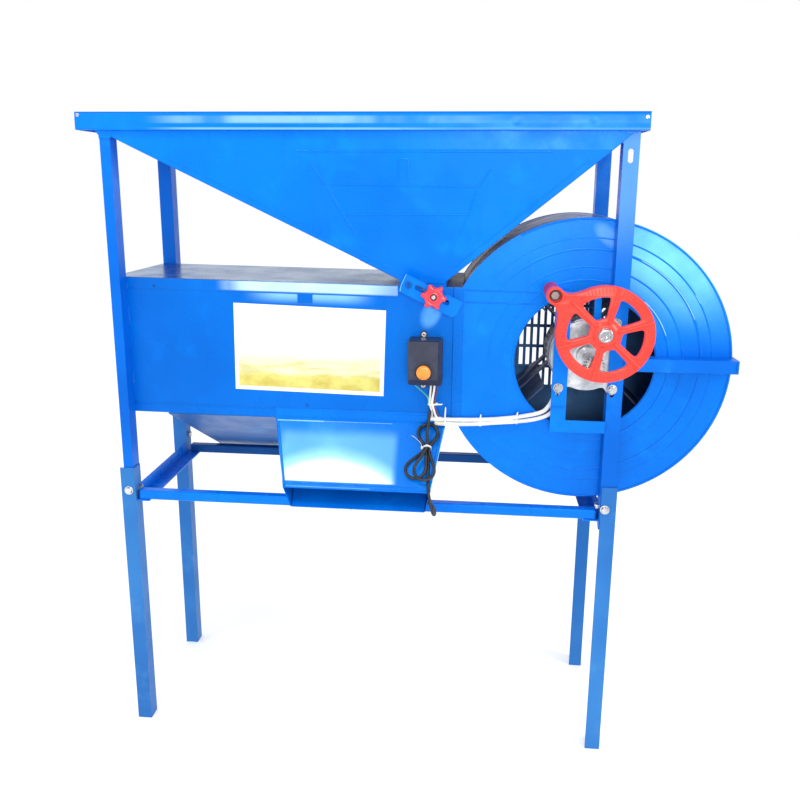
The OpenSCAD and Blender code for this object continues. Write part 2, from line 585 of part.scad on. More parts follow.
// pan head screw with its head on the plane y
module screw(x, y, z, r = 4, h = 2, l = 6) {
  rod(x, z, y - h, y, r, 32);
  rod(x, z, y - e, y + l, r * 0.55, 24);
}
module panel_screws() color("silver") place() {
  screw(33, yf - 4, sz1 + 5, 4.6, 2.5, 3.8);
  screw(33, yf - 4, sz0 - 8, 4.6, 2.5, 3.8);
  for (x = [-621, 424]) rod(x, x < 0 ? 1291 : 1287, -rim_out - 1.5, -rim_out, 3.5, 32);
  for (q = [[-509, 967], [-294, 973], [-62, 970], [-562.5, 723], [-203, 729]]) rod(q[0], q[1], yf - 1.5, yf, 3, 32);
  gate() rod(-53, 1.7, -3.8, -2, 6.5, 32);
  gate() rod(-53, 1.7, -2, 28, 3, 24);
}
module label_sheet() color("skyblue") place() slab(yf - 0.4, yf) polygon([[-348, 936], [-350, 759], [-47, 753], [-42, 927]]);

/* leads and cord */
lead_a = [[50, 22, 712], [80, 23.5, 711], [146, 23.5, 713], [217, 23.5, 720], [262, 23.5, 731], [281, 26, 745], [291, 32, 765], [295.5, 37.5, 785], [297.3, 39.4, 795.5]];
lead_b = [[62, 21, 703.2], [90, 23.5, 702.2], [146, 23.5, 704.2], [217, 23.5, 711.2], [269, 23.5, 722.2], [290, 26, 735.5], [300, 32, 755], [305.5, 37.5, 775], [308.2, 39.6, 787.5]];
module motor_lead() color("white") place() {
  sweep(smooth(lead_a, 2), 4.2);
  sweep(smooth(lead_b, 2), 4.2);
}
module switch_wires() color("ivory") place() {
  sweep([[62, 14, 787], [62, 14, 780], [61, 14, 770], [57.5, 15, 752], [56.4, 15.5, 745], [58, 18, 730], [62, 20.5, 722], [65, 22, 717.5]], 1.6, 6);
  sweep([[58.5, 19, 787], [58.5, 19, 780], [58, 20, 768], [55, 19.2, 752], [54, 18.8, 745], [53, 19, 732], [53, 20, 724], [54, 22, 718.5]], 1.6, 6);
  sweep([[66, 18, 787], [66, 18, 780], [64, 20, 768], [58.8, 20, 752], [57.4, 19.6, 745], [60.5, 22.2, 732], [61.5, 24, 724], [61.5, 25, 718]], 1.6, 6);
  sweep([[16, 18, 787], [16, 19, 783], [22, 22, 777], [34, 24, 769], [43, 24.5, 762], [49, 23, 754], [51.2, 22, 745], [55, 23.5, 732], [57.5, 25, 719.5]], 1.3, 6);
}
// band of a cable tie round a rectangular bundle, in the y-z plane
module band(x, w, y0, y1, z0, z1, th = 1.2) translate([x, 0, 0]) difference() {
  blk(0, w, y0 - th, y1 + th, z0 - th, z1 + th);
  blk(-1, w + 1, y0, y1, z0, z1);
}
function hood_pt(x, s, n) = [x, hood_y - s * cos(hood_a) - n * sin(hood_a), hood_z - s * sin(hood_a) + n * cos(hood_a)];
module on_hood() translate([0, hood_y, hood_z]) rotate([hood_a, 0, 0]) children();
hank_x = 45;
hank_s = 57;
module cable_ties() color("white") place() {
  band(76, 4, 18.3, 27.8, 698.2, 716, 0.6);
  blk(77, 79, 17.7, 18.7, 716.6 - e, 738);
  band(146, 4, 19.2, 27.8, 699.8, 718, 0.8);
  band(217, 4, 19.2, 27.8, 706.6, 726, 0.8);
  // band round the wires and the cord below the switch
  difference() {
    blk(45.3, 60.7, 11.2, 24.8, 743, 747);
    blk(46.3, 59.7, 12.2, 23.8, 742, 748);
  }
  blk(60.7 - e, 72, 14, 15, 744, 746);
  // band round the hank
  on_hood() difference() {
    translate([hank_x - 11.4, -hank_s - 2, 0.1]) cube([22.8, 4, 21]);
    translate([hank_x - 10.4, -hank_s - 3, -1]) cube([20.8, 6, 21]);
  }
  // band round the plug on the rail
  difference() {
    blk(-112, -108, 0.8, 23.2, rail_z - rail_w - 1.2, rail_z + 17.2);
    blk(-113, -107, 2, 22, rail_z - rail_w, rail_z + 16);
  }
}
// cord from the switch to the hank, and from the hank over the lip to the plug on the rail
cord_a = [[50, 16, 767], [50, 16, 752], [49, 15, 736], [47, 11, 719], [45, 4, 702], [44, -6, 689]];
cord_b = [[50, -60, 615], [51, -71, 602], [53, -82, 592], [56, -89, 582], [59, -91, 569], [62, -84, 555], [64, -71, 548], [64, -53, 545.5], [61, -32, 544.5],
  [52, -11, 543.5], [36, 4, 543], [14, 11, 543], [-20, 12, 543], [-48, 12, 543], [-62, 12, 544.5], [-76, 12, 547.5], [-82, 12, 548], [-90, 12, 548]];
module power_cord() color("dimgray") place() {
  sweep(smooth(cord_a, 2), cord_d / 2);
  sweep(smooth(cord_b, 1), cord_d / 2);
}
// one layer of the hank: an upper loop and a lower loop turned by the angle a, narrow at the tie
module hank_layer(a, b) {
  translate([0, 34]) circle(r = 21.2);
  polygon([[-20, 28], [20, 28], [6.8, 0], [-6.8, 0]]);
  rotate(a) {
    translate([0, -b]) circle(r = 21.2);
    polygon([[-20, -b + 6], [20, -b + 6], [6.8, 0], [-6.8, 0]]);
  }
  circle(r = 8.2);
}
module cord_hank() color("dimgray") place() on_hood() translate([hank_x, -hank_s, 0.3]) {
  for (q = [[0, -30, 50], [1, -13, 54], [2, 4, 48]]) translate([0, 0, q[0] * 6.2]) linear_extrude(height = 6.3) difference() {
    hank_layer(q[1], q[2]);
    // room for the band of the tie
    for (x = [-20.2, 10.2]) translate([x, -2.4]) square([10, 4.8]);
  }
}
module power_plug() color("dimgray") place() {
  blk(-136, -96, 2, 22, rail_z, rail_z + 16);
  rodx(12, rail_z + 8, -96 - e, -90, 6, 48);
  for (y = [7, 17]) blk(-154, -136 + e, y - 3, y + 3, rail_z + 7.2, rail_z + 8.8);
}

front_left_leg_upper();
front_left_leg_lower();
front_right_leg_upper();
front_right_leg_lower();
rear_left_leg_upper();
rear_left_leg_lower();
rear_right_leg_upper();
rear_right_leg_lower();
front_rail();
rear_rail();
left_rail();
right_rail();
brace_front_bar();
brace_side_bar();
brace_rear_bar();
leg_bolts();
hopper_front_plate();
hopper_rear_plate();
hopper_left_slope();
hopper_right_slope();
duct_front_panel();
duct_rear_panel();
duct_top_cover();
divider_plate();
main_chute_floor();
main_chute_hood();
rear_chute_floor();
rear_chute_hood();
gate_bracket();
gate_plate();
gate_stud();
star_knob();
drum_front_plate();
drum_rear_plate();
drum_wrap();
fan_hub();
fan_blades();
motor_body();
motor_shaft();
pinion();
motor_bar();
motor_cross_plate();
motor_bolts();
crank_bracket();
crank_axle();
hub_bearing();
handwheel();
handle_sleeve();
handle_bolt();
switch_box();
switch_cover();
switch_button();
panel_screws();
label_sheet();
motor_lead();
switch_wires();
cable_ties();
power_cord();
cord_hank();
power_plug();
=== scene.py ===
"""Grain cleaning machine: looks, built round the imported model."""
import math

import bmesh
import bpy
from mathutils import Matrix, Vector


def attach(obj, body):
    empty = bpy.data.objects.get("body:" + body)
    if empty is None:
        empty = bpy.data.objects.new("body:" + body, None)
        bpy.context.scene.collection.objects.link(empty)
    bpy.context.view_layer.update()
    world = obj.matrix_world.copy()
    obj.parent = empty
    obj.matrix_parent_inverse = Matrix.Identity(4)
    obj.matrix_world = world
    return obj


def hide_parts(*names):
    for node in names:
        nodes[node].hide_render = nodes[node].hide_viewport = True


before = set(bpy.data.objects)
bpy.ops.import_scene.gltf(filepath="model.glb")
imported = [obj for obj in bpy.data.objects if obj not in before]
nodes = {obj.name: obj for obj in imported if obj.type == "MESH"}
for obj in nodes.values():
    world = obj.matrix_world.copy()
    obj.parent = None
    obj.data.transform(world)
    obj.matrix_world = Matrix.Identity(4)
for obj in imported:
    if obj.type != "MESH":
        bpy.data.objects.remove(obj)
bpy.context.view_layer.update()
scene = bpy.context.scene

OX, OY = 0.5, -118.53
COS, SIN, TAN = (lambda a: math.cos(math.radians(a))), (lambda a: math.sin(math.radians(a))), (lambda a: math.tan(math.radians(a)))


def P(x, y, z):
    """A point of the machine, in millimetres, as a point of the row frame in metres."""
    return Vector(((x + OX) / 1000, (y + OY) / 1000, z / 1000))


# ---------------------------------------------------------------- camera
cam_data = bpy.data.cameras.new("camera")
cam = bpy.data.objects.new("camera", cam_data)
scene.collection.objects.link(cam)
right = Vector((0.99571978, 0.09213516, 0.00729544))
up = Vector((-0.02704139, 0.21493919, 0.97625299))
back = Vector((0.08837915, -0.9722717, 0.21651066))
m = Matrix((right, up, back)).transposed().to_4x4()
m.translation = Vector((0.12716, -1.57491, 1.16826))
cam.matrix_world = m
cam_data.sensor_width = 36
cam_data.lens = 34.574
cam_data.shift_x = -0.00355
cam_data.shift_y = -0.0576
cam_data.clip_start = 0.01
cam_data.clip_end = 50
scene.camera = cam


# ---------------------------------------------------------------- materials
class G:
    """A material with a Principled shader and short names for the nodes used here."""

    def __init__(self, name, rough=0.5, metal=0.0, spec=0.5, coat=0.0, coat_rough=0.1, ior=1.5):
        self.m = bpy.data.materials.new(name)
        self.m.use_nodes = True
        self.t = self.m.node_tree
        self.t.nodes.clear()
        self.out = self.t.nodes.new("ShaderNodeOutputMaterial")
        self.b = self.t.nodes.new("ShaderNodeBsdfPrincipled")
        self.t.links.new(self.b.outputs[0], self.out.inputs[0])
        self.b.inputs["Roughness"].default_value = rough
        self.b.inputs["Metallic"].default_value = metal
        self.b.inputs["Specular IOR Level"].default_value = spec
        self.b.inputs["Coat Weight"].default_value = coat
        self.b.inputs["Coat Roughness"].default_value = coat_rough
        self.b.inputs["IOR"].default_value = ior
        self.co = self.t.nodes.new("ShaderNodeTexCoord").outputs["Object"]

    def put(self, socket, v):
        if isinstance(v, bpy.types.NodeSocket):
            self.t.links.new(v, socket)
        elif hasattr(v, "__len__") and len(v) == 3 and socket.type == "RGBA":
            socket.default_value = (*v, 1)
        else:
            socket.default_value = v

    def noise(self, scale, detail=3, rough=0.5, stretch=None, distort=0.0):
        n = self.t.nodes.new("ShaderNodeTexNoise")
        n.inputs["Scale"].default_value = scale
        n.inputs["Detail"].default_value = detail
        n.inputs["Roughness"].default_value = rough
        n.inputs["Distortion"].default_value = distort
        self.put(n.inputs["Vector"], self.scaled(stretch) if stretch else self.co)
        return n.outputs[0]

    def scaled(self, s, rot=None):
        n = self.t.nodes.new("ShaderNodeMapping")
        n.inputs["Scale"].default_value = s
        if rot:
            n.inputs["Rotation"].default_value = rot
        self.put(n.inputs["Vector"], self.co)
        return n.outputs[0]

    def ramp(self, fac, a, b, lo=0.0, hi=1.0):
        """lo to hi as fac goes from a to b, smooth at both ends."""
        n = self.t.nodes.new("ShaderNodeMapRange")
        n.interpolation_type = "SMOOTHSTEP"
        self.put(n.inputs[0], fac)
        for i, v in enumerate((a, b, lo, hi)):
            n.inputs[i + 1].default_value = v
        return n.outputs[0]

    def mix(self, fac, a, b, blend="MIX"):
        n = self.t.nodes.new("ShaderNodeMix")
        n.data_type = "RGBA"
        n.blend_type = blend
        self.put(n.inputs[0], fac)
        self.put(n.inputs[6], a)
        self.put(n.inputs[7], b)
        return n.outputs[2]

    def math(self, op, a, b=0.0, clamp=False):
        n = self.t.nodes.new("ShaderNodeMath")
        n.operation = op
        n.use_clamp = clamp
        self.put(n.inputs[0], a)
        self.put(n.inputs[1], b)
        return n.outputs[0]

    def axis(self, k, of=None):
        n = self.t.nodes.new("ShaderNodeSeparateXYZ")
        self.put(n.inputs[0], of or self.co)
        return n.outputs[k]

    def bump(self, height, dist, normal=None, strength=1.0):
        n = self.t.nodes.new("ShaderNodeBump")
        n.inputs["Strength"].default_value = strength
        n.inputs["Distance"].default_value = dist
        self.put(n.inputs["Height"], height)
        if normal is not None:
            self.put(n.inputs["Normal"], normal)
        return n.outputs[0]

    def bevel(self, radius, samples=4):
        n = self.t.nodes.new("ShaderNodeBevel")
        n.samples = samples
        n.inputs["Radius"].default_value = radius
        return n.outputs[0]

    def edge(self, bevel, lo=0.93, hi=0.55):
        """1 on edges, from how far the rounded normal is from the face's own."""
        g = self.t.nodes.new("ShaderNodeNewGeometry")
        d = self.t.nodes.new("ShaderNodeVectorMath")
        d.operation = "DOT_PRODUCT"
        self.put(d.inputs[0], bevel)
        self.put(d.inputs[1], g.outputs["Normal"])
        return self.ramp(d.outputs["Value"], lo, hi)

    def set(self, **k):
        for name, v in k.items():
            self.put(self.b.inputs[name.replace("_", " ")], v)
        return self.m


def rgb(r, g, b):
    """Linear colour of an sRGB triple from 0 to 255."""
    return tuple((c / 255 / 12.92) if c <= 10.3 else ((c / 255 + 0.055) / 1.055) ** 2.4 for c in (r, g, b))


def enamel(name, base, deep, pale, rough=0.3, waves=0.0010, spec=0.4, coat=0.0, radius=0.0012, wear=0.5, worn=None, tint=(0.22, 0.62, 1.0), patches_and_painted_light=None):
    """Sprayed enamel on steel: cloudy colour, fine orange peel, thin sheet that is not quite flat, and rubbed edges,
    with optional patches on top, most of them painted highlight, reflection or shade.
    """
    g = G(name, rough, 0.0, spec, coat, 0.08)
    cloud = g.noise(2.6, 3, 0.55)
    c = g.mix(g.ramp(cloud, 0.35, 0.68), deep, base)
    c = g.mix(g.ramp(g.noise(11, 4, 0.6), 0.52, 0.8, 0, 0.55), c, pale)
    # runs of the spray, a little darker, from top to bottom
    c = g.mix(g.ramp(g.noise(9, 2, 0.5, (6, 6, 0.5)), 0.55, 0.8, 0, 0.35), c, deep)
    # dust specks in the paint
    c = g.mix(g.ramp(g.noise(420, 2, 0.5), 0.735, 0.78, 0, 0.5), c, pale)
    bev = g.bevel(radius)
    e = g.edge(bev)
    rub = g.math("MULTIPLY", e, g.ramp(g.noise(46, 4, 0.7), 0.50, 0.66, 0, wear), True)
    c = g.mix(rub, c, worn or pale)
    # patches: painted highlights, reflections and shade, except the real blue on the outside of the rear plate
    for mask, colour in (patches_and_painted_light(g) if patches_and_painted_light else []):
        c = g.mix(mask, c, colour)
    g.put(g.b.inputs["Specular Tint"], tint)
    r = g.ramp(g.noise(17, 4, 0.6), 0.3, 0.75, rough - 0.06, rough + 0.1)
    n = g.bump(g.noise(3.3, 2, 0.4), waves, bev) if waves else bev
    n = g.bump(g.noise(310, 2, 0.5), 0.00007, n)
    return g.set(Base_Color=c, Roughness=r, Normal=n)


def bare(name, base, dark, rough=0.35, grain=(1, 1, 1), radius=0.0006, metal=1.0, scratch=0.00004):
    """Bare or plated metal with a rolled grain, faint tarnish and fine scratches."""
    g = G(name, rough, metal, 0.5)
    c = g.mix(g.ramp(g.noise(28, 4, 0.6), 0.35, 0.72), dark, base)
    c = g.mix(g.ramp(g.noise(6, 3, 0.6), 0.45, 0.75, 0, 0.5), c, dark)
    fine = g.noise(260, 3, 0.6, grain)
    r = g.ramp(fine, 0.3, 0.75, rough - 0.1, rough + 0.16)
    n = g.bump(fine, scratch, g.bevel(radius))
    return g.set(Base_Color=c, Roughness=r, Normal=n)


def plastic(name, base, deep, rough=0.4, radius=0.0008, grain=0.00005, spec=0.5, coat=0.0, scale=520):
    """Moulded plastic: slight mottling, fine texture of the mould, softened edges with a pale rub."""
    g = G(name, rough, 0.0, spec, coat, 0.12)
    c = g.mix(g.ramp(g.noise(34, 3, 0.55), 0.36, 0.7), deep, base)
    bev = g.bevel(radius)
    rub = g.math("MULTIPLY", g.edge(bev, 0.9, 0.6), g.ramp(g.noise(80, 3, 0.6), 0.42, 0.7, 0, 0.35), True)
    pale = tuple(min(1, v * 1.5 + 0.06) for v in base)
    c = g.mix(rub, c, pale)
    fine = g.noise(scale, 3, 0.6)
    return g.set(Base_Color=c, Roughness=g.ramp(fine, 0.3, 0.7, rough - 0.05, rough + 0.1), Normal=g.bump(fine, grain, bev))


BLUE, DEEP, PALE = rgb(0, 114, 222), rgb(0, 98, 202), rgb(8, 130, 234)


def spot(g, x, z, rx, rz, slant=0.0):
    """1 in the middle of a soft patch round a place on the front, 0 outside it."""
    dx = g.math("SUBTRACT", g.axis(0), (x + OX) / 1000)
    dz = g.math("SUBTRACT", g.axis(2), z / 1000)
    dx = g.math("ADD", dx, g.math("MULTIPLY", dz, slant))
    q = g.math("ADD", g.math("POWER", g.math("ABSOLUTE", g.math("DIVIDE", dx, rx / 1000)), 2.0), g.math("POWER", g.math("ABSOLUTE", g.math("DIVIDE", dz, rz / 1000)), 2.0))
    return g.ramp(q, 1.0, 0.1)


def front_side(g):
    """1 on faces that look to the front."""
    geo = g.t.nodes.new("ShaderNodeNewGeometry")
    return g.ramp(g.axis(1, geo.outputs["Normal"]), -0.5, -0.7)


def duct_painted_highlights(g):
    """Painted reflection as a pale patch under the gate, and a painted highlight as a pale band under the top band of
    the duct.
    """
    # pale patch under the knob: painted reflection
    a = g.math("MULTIPLY", spot(g, 46, 922, 24, 34, -0.25), front_side(g))
    a = g.math("MULTIPLY", a, g.ramp(g.noise(26, 3, 0.5), 0.25, 0.6, 0.45, 0.8))
    x, z = g.axis(0), g.axis(2)
    line = g.math("SUBTRACT", z, g.math("ADD", 0.9554, g.math("MULTIPLY", x, -0.0147)))
    # pale band fading down from the top band: painted highlight
    painted_highlight_band = g.math("MULTIPLY", g.ramp(x, -0.335, -0.25), g.ramp(x, -0.055, -0.13))
    painted_highlight_band = g.math("MULTIPLY", g.math("MULTIPLY", painted_highlight_band, g.ramp(line, -0.026, -0.004, 0.0, 0.62)), front_side(g))
    return [(a, rgb(104, 178, 250)), (painted_highlight_band, rgb(150, 212, 244))]


def housing_painted_reflection(g):
    """Painted reflection: paler paint on the upper right of the fan housing."""
    dx = g.math("SUBTRACT", g.axis(0), 0.345)
    dz = g.math("SUBTRACT", g.axis(2), 0.834)
    r = g.math("SQRT", g.math("ADD", g.math("MULTIPLY", dx, dx), g.math("MULTIPLY", dz, dz)))
    right = g.ramp(dx, 0.03, 0.075)
    high = g.ramp(g.math("ADD", dz, g.math("MULTIPLY", g.noise(7, 2, 0.5), 0.05)), 0.06, 0.23)
    ring = g.ramp(r, 0.15, 0.21, 0.35, 1.0)
    a = g.math("MULTIPLY", g.math("MULTIPLY", right, high), g.math("MULTIPLY", ring, front_side(g)))
    a = g.math("MULTIPLY", a, g.ramp(g.noise(14, 3, 0.55), 0.2, 0.7, 0.55, 0.9))
    # pale patch near the top beside the leg: painted reflection
    b = g.math("MULTIPLY", spot(g, 374, 1078, 24, 28, 0.6), g.math("MULTIPLY", front_side(g), 0.55))
    return [(a, rgb(120, 205, 246)), (b, rgb(110, 170, 236))]


def chute_painted_highlight(g):
    """Cover of the chute with a painted highlight: pale over its lower part, whitest along its lip."""
    x, z = g.axis(0), g.axis(2)
    side = g.math("MULTIPLY", g.ramp(x, -0.262, -0.236), g.ramp(x, -0.008, -0.026))
    blot = g.math("MULTIPLY", g.noise(9, 3, 0.5), 0.016)
    zone = g.math("MULTIPLY", side, g.ramp(g.math("ADD", z, blot), 0.698, 0.676))
    zone = g.math("MULTIPLY", zone, g.ramp(z, 0.6025, 0.6045))
    u = g.math("DIVIDE", g.math("ADD", x, 0.142), 0.112)
    top = g.math("SUBTRACT", 0.634, g.math("MULTIPLY", g.math("MULTIPLY", u, u), 0.027))
    d = g.math("SUBTRACT", g.math("ADD", top, blot), z)
    out = front_side(g)
    # pale blue painted highlight, turning white towards the lip
    pale = g.mix(g.ramp(d, -0.022, 0.002), rgb(98, 166, 232), rgb(158, 216, 238))
    return [(g.math("MULTIPLY", g.math("MULTIPLY", zone, out), 0.8), pale),
            (g.math("MULTIPLY", g.math("MULTIPLY", zone, out), g.ramp(d, -0.004, 0.014, 0.0, 0.93)), rgb(226, 230, 224))]


def rim_painted_highlight_and_shade(g):
    """Rim of the hopper: painted highlight along its middle and along its lower edge, painted shade along its top edge.
    """
    x, z = g.axis(0), g.axis(2)
    n = g.noise(7, 3, 0.55, (1, 1, 0.3))
    along = g.math("MULTIPLY", g.ramp(x, -0.50, -0.40), g.ramp(x, 0.10, -0.10, 0.35, 1.0))
    mid = g.math("MULTIPLY", g.ramp(z, 1.2745, 1.279), g.ramp(z, 1.2915, 1.2875))
    a = g.math("MULTIPLY", g.math("MULTIPLY", along, mid), g.ramp(n, 0.36, 0.62, 0.1, 0.66))
    # line along the lower edge: painted highlight
    low = g.math("MULTIPLY", g.ramp(z, 1.2645, 1.266), g.ramp(z, 1.2695, 1.268))
    b = g.math("MULTIPLY", g.math("MULTIPLY", along, low), 0.55)
    # dark line along the top edge: painted shade
    top = g.math("MULTIPLY", g.ramp(z, 1.2935, 1.295), 0.55)
    return [(a, rgb(150, 198, 240)), (b, rgb(150, 200, 246)), (top, rgb(0, 72, 150))]


def band_painted_highlight(g):
    """Upper band of the duct: painted highlight right of its first third, fading towards its right end."""
    x, z = g.axis(0), g.axis(2)
    n = g.noise(30, 2, 0.5, (1, 1, 0.08))
    along = g.ramp(g.math("ADD", x, g.math("MULTIPLY", n, 0.09)), -0.345, -0.255)
    along = g.math("MULTIPLY", along, g.math("MULTIPLY", g.ramp(x, -0.012, -0.018), g.ramp(x, -0.02, -0.09, 0.5, 1.0)))
    line = g.math("SUBTRACT", z, g.math("ADD", 0.9554, g.math("MULTIPLY", x, -0.0147)))
    band = g.math("MULTIPLY", g.ramp(line, -0.001, 0.003), g.ramp(line, 0.030, 0.026))
    a = g.math("MULTIPLY", g.math("MULTIPLY", along, band), g.ramp(g.noise(9, 2, 0.5), 0.3, 0.7, 0.72, 0.95))
    return [(a, rgb(196, 228, 240))]


blue = enamel("blue_enamel", BLUE, DEEP, PALE, worn=rgb(110, 170, 225))
# duct paint with a painted reflection under the gate and a painted highlight under its top band
blue_duct = enamel("blue_enamel_on_duct", rgb(0, 102, 202), rgb(0, 90, 186), rgb(2, 116, 218), worn=rgb(110, 170, 225), patches_and_painted_light=duct_painted_highlights)
# housing paint with a painted reflection on its upper right
blue_housing = enamel("blue_enamel_on_housing", BLUE, DEEP, PALE, worn=rgb(110, 170, 225), patches_and_painted_light=housing_painted_reflection)
# chute paint with a painted highlight on its cover
blue_chute = enamel("blue_enamel_on_chute", BLUE, DEEP, PALE, worn=rgb(110, 170, 225), patches_and_painted_light=chute_painted_highlight)
# rim paint with painted highlights and a painted shade line
blue_rim = enamel("blue_enamel_on_rim", BLUE, DEEP, PALE, worn=rgb(170, 205, 235), patches_and_painted_light=rim_painted_highlight_and_shade)
# fold paint with a painted highlight on the upper band of the duct
blue_band = enamel("blue_enamel_on_folds", rgb(0, 102, 202), rgb(0, 90, 186), rgb(2, 116, 218), worn=rgb(150, 195, 235), patches_and_painted_light=band_painted_highlight)
# pale enamel for painted highlights on edges and ring crests
blue_painted_highlight = enamel("pale_blue_for_painted_highlights", rgb(150, 205, 240), rgb(110, 180, 236), rgb(200, 228, 242), 0.26, 0.0, worn=rgb(215, 232, 240))
def leg_painted_highlight(g):
    """Upper part of the front right leg, paler: painted highlight."""
    here = g.math("MULTIPLY", g.ramp(g.axis(0), 0.374, 0.38), g.ramp(g.axis(1), -0.095, -0.105))
    high = g.ramp(g.math("ADD", g.axis(2), g.math("MULTIPLY", g.noise(9, 2, 0.5), 0.06)), 1.03, 1.19)
    a = g.math("MULTIPLY", g.math("MULTIPLY", here, front_side(g)), g.math("MULTIPLY", high, 0.48))
    return [(a, rgb(108, 158, 222))]


# angle-iron paint with a painted highlight on the upper front right leg
blue_legs = enamel("blue_enamel_on_angle_iron", rgb(2, 104, 210), rgb(0, 86, 186), rgb(24, 130, 232), 0.34, 0.0, worn=rgb(140, 180, 220), wear=0.8, patches_and_painted_light=leg_painted_highlight)
# darker copy of the blue enamel: painted shade, for the rear rail and the corner beads inside the chute
blue_painted_shade = enamel("blue_enamel_darkened_as_painted_shade_on_rear_rail", rgb(14, 66, 132), rgb(8, 52, 112), rgb(30, 88, 160), 0.4, 0.0, worn=rgb(110, 140, 180), wear=0.8)
# darker copy of the blue enamel: painted shade on the rear chute
blue_rear_painted_shade = enamel("blue_enamel_darkened_as_painted_shade_on_rear_chute", rgb(40, 96, 160), rgb(26, 80, 146), rgb(70, 128, 190), 0.38, 0.0008, worn=rgb(120, 160, 200))
dull = enamel("dull_blue_enamel", rgb(52, 116, 182), rgb(38, 96, 166), rgb(84, 142, 200), 0.42, 0.0, worn=rgb(160, 185, 210), wear=0.8)


def rear_face(g):
    """Outside of the rear plate, under the same paint as the rest of the machine."""
    geo = g.t.nodes.new("ShaderNodeNewGeometry")
    out = g.math("MULTIPLY", g.ramp(g.axis(1, geo.outputs["Normal"]), 0.5, 0.7), g.ramp(g.axis(1), 0.1735, 0.1745))
    return [(out, BLUE)]


# paler, greyer copy of the blue enamel for the parts inside the housing and the grating: painted light against their
# shade; the outside of the rear plate keeps the real blue
inside = enamel("inside_blue_paled_as_painted_light", rgb(92, 138, 190), rgb(72, 116, 170), rgb(116, 160, 208), 0.5, 0.0004, patches_and_painted_light=rear_face)
coral = enamel("coral_enamel_on_casting", rgb(236, 66, 56), rgb(214, 46, 40), rgb(248, 96, 82), 0.3, 0.0, radius=0.0018, worn=rgb(255, 150, 130), wear=0.6, tint=(1.0, 0.62, 0.55))
def screws_mat():
    """Zinc screws, with the rivets and the gate bolt under the same blue paint as the sheet."""
    g = G("screws_and_painted_rivets", 0.3, 1.0, 0.5)
    z, x = g.axis(2), g.axis(0)
    painted = g.math("MAXIMUM", g.math("MULTIPLY", g.ramp(z, 0.944, 0.946), g.ramp(z, 1.2, 1.19)), g.math("MULTIPLY", g.ramp(z, 0.76, 0.755), g.ramp(x, -0.1, -0.12)))
    c = g.mix(g.ramp(g.noise(28, 4, 0.6), 0.35, 0.72), rgb(160, 162, 166), rgb(216, 218, 220))
    c = g.mix(painted, c, g.mix(g.ramp(g.noise(60, 3, 0.6), 0.4, 0.7), rgb(0, 66, 140), rgb(0, 88, 180)))
    g.put(g.b.inputs["Specular Tint"], g.mix(painted, (1.0, 1.0, 1.0), (0.3, 0.65, 1.0)))
    return g.set(Base_Color=c, Metallic=g.math("SUBTRACT", 1.0, painted), Roughness=g.ramp(g.noise(200, 3), 0.3, 0.7, 0.2, 0.4), Normal=g.bump(g.noise(260, 3), 0.00004, g.bevel(0.0006)))


screw_mat = screws_mat()
zinc = bare("zinc_plate", rgb(216, 218, 220), rgb(150, 152, 156), 0.26)
steel = bare("cut_gear_steel", rgb(226, 224, 222), rgb(150, 148, 146), 0.24)
shiny = bare("turned_steel", rgb(226, 226, 228), rgb(160, 160, 164), 0.2, (1, 8, 1))
cast = bare("silver_paint_on_casting", rgb(206, 208, 212), rgb(150, 154, 160), 0.42, metal=0.75, scratch=0.00012)
fan_paint = enamel("fan_enamel", rgb(74, 88, 124), rgb(50, 62, 96), rgb(104, 118, 150), 0.4, 0.0004, tint=(0.8, 0.85, 1.0))
grip = plastic("magenta_grip", rgb(186, 40, 86), rgb(158, 28, 72), 0.4, spec=0.25)
knob_mat = plastic("coral_knob", rgb(226, 56, 72), rgb(200, 38, 58), 0.28, coat=0.3)
box_mat = plastic("navy_switch", rgb(38, 46, 70), rgb(26, 32, 54), 0.36, grain=0.00009, scale=700)
button_mat = plastic("orange_button", rgb(246, 148, 44), rgb(226, 116, 26), 0.3, coat=0.3)
white_mat = plastic("white_jacket", rgb(236, 238, 240), rgb(204, 208, 212), 0.36, radius=0.0004)
beige_mat = plastic("beige_jacket", rgb(222, 214, 196), rgb(190, 180, 158), 0.4, radius=0.0004)
brown_mat = plastic("brown_jacket", rgb(120, 72, 48), rgb(92, 52, 34), 0.4, radius=0.0003)
green_mat = plastic("green_jacket", rgb(96, 200, 190), rgb(60, 160, 150), 0.4, radius=0.0003)
tie_mat = plastic("nylon_tie", rgb(232, 234, 236), rgb(206, 208, 214), 0.3, radius=0.0003)


def black_rubber():
    """Black jacket of the cord: satin, faint lengthwise scuffs and grey dust."""
    g = G("black_jacket", 0.42, 0.0, 0.45)
    c = g.mix(g.ramp(g.noise(55, 4, 0.6), 0.4, 0.7), rgb(20, 21, 25), rgb(36, 37, 43))
    c = g.mix(g.ramp(g.noise(240, 3, 0.65), 0.58, 0.75, 0, 0.35), c, rgb(92, 92, 96))
    fine = g.noise(900, 2, 0.5)
    return g.set(Base_Color=c, Roughness=g.ramp(g.noise(90, 3), 0.3, 0.7, 0.34, 0.52), Normal=g.bump(fine, 0.00005))


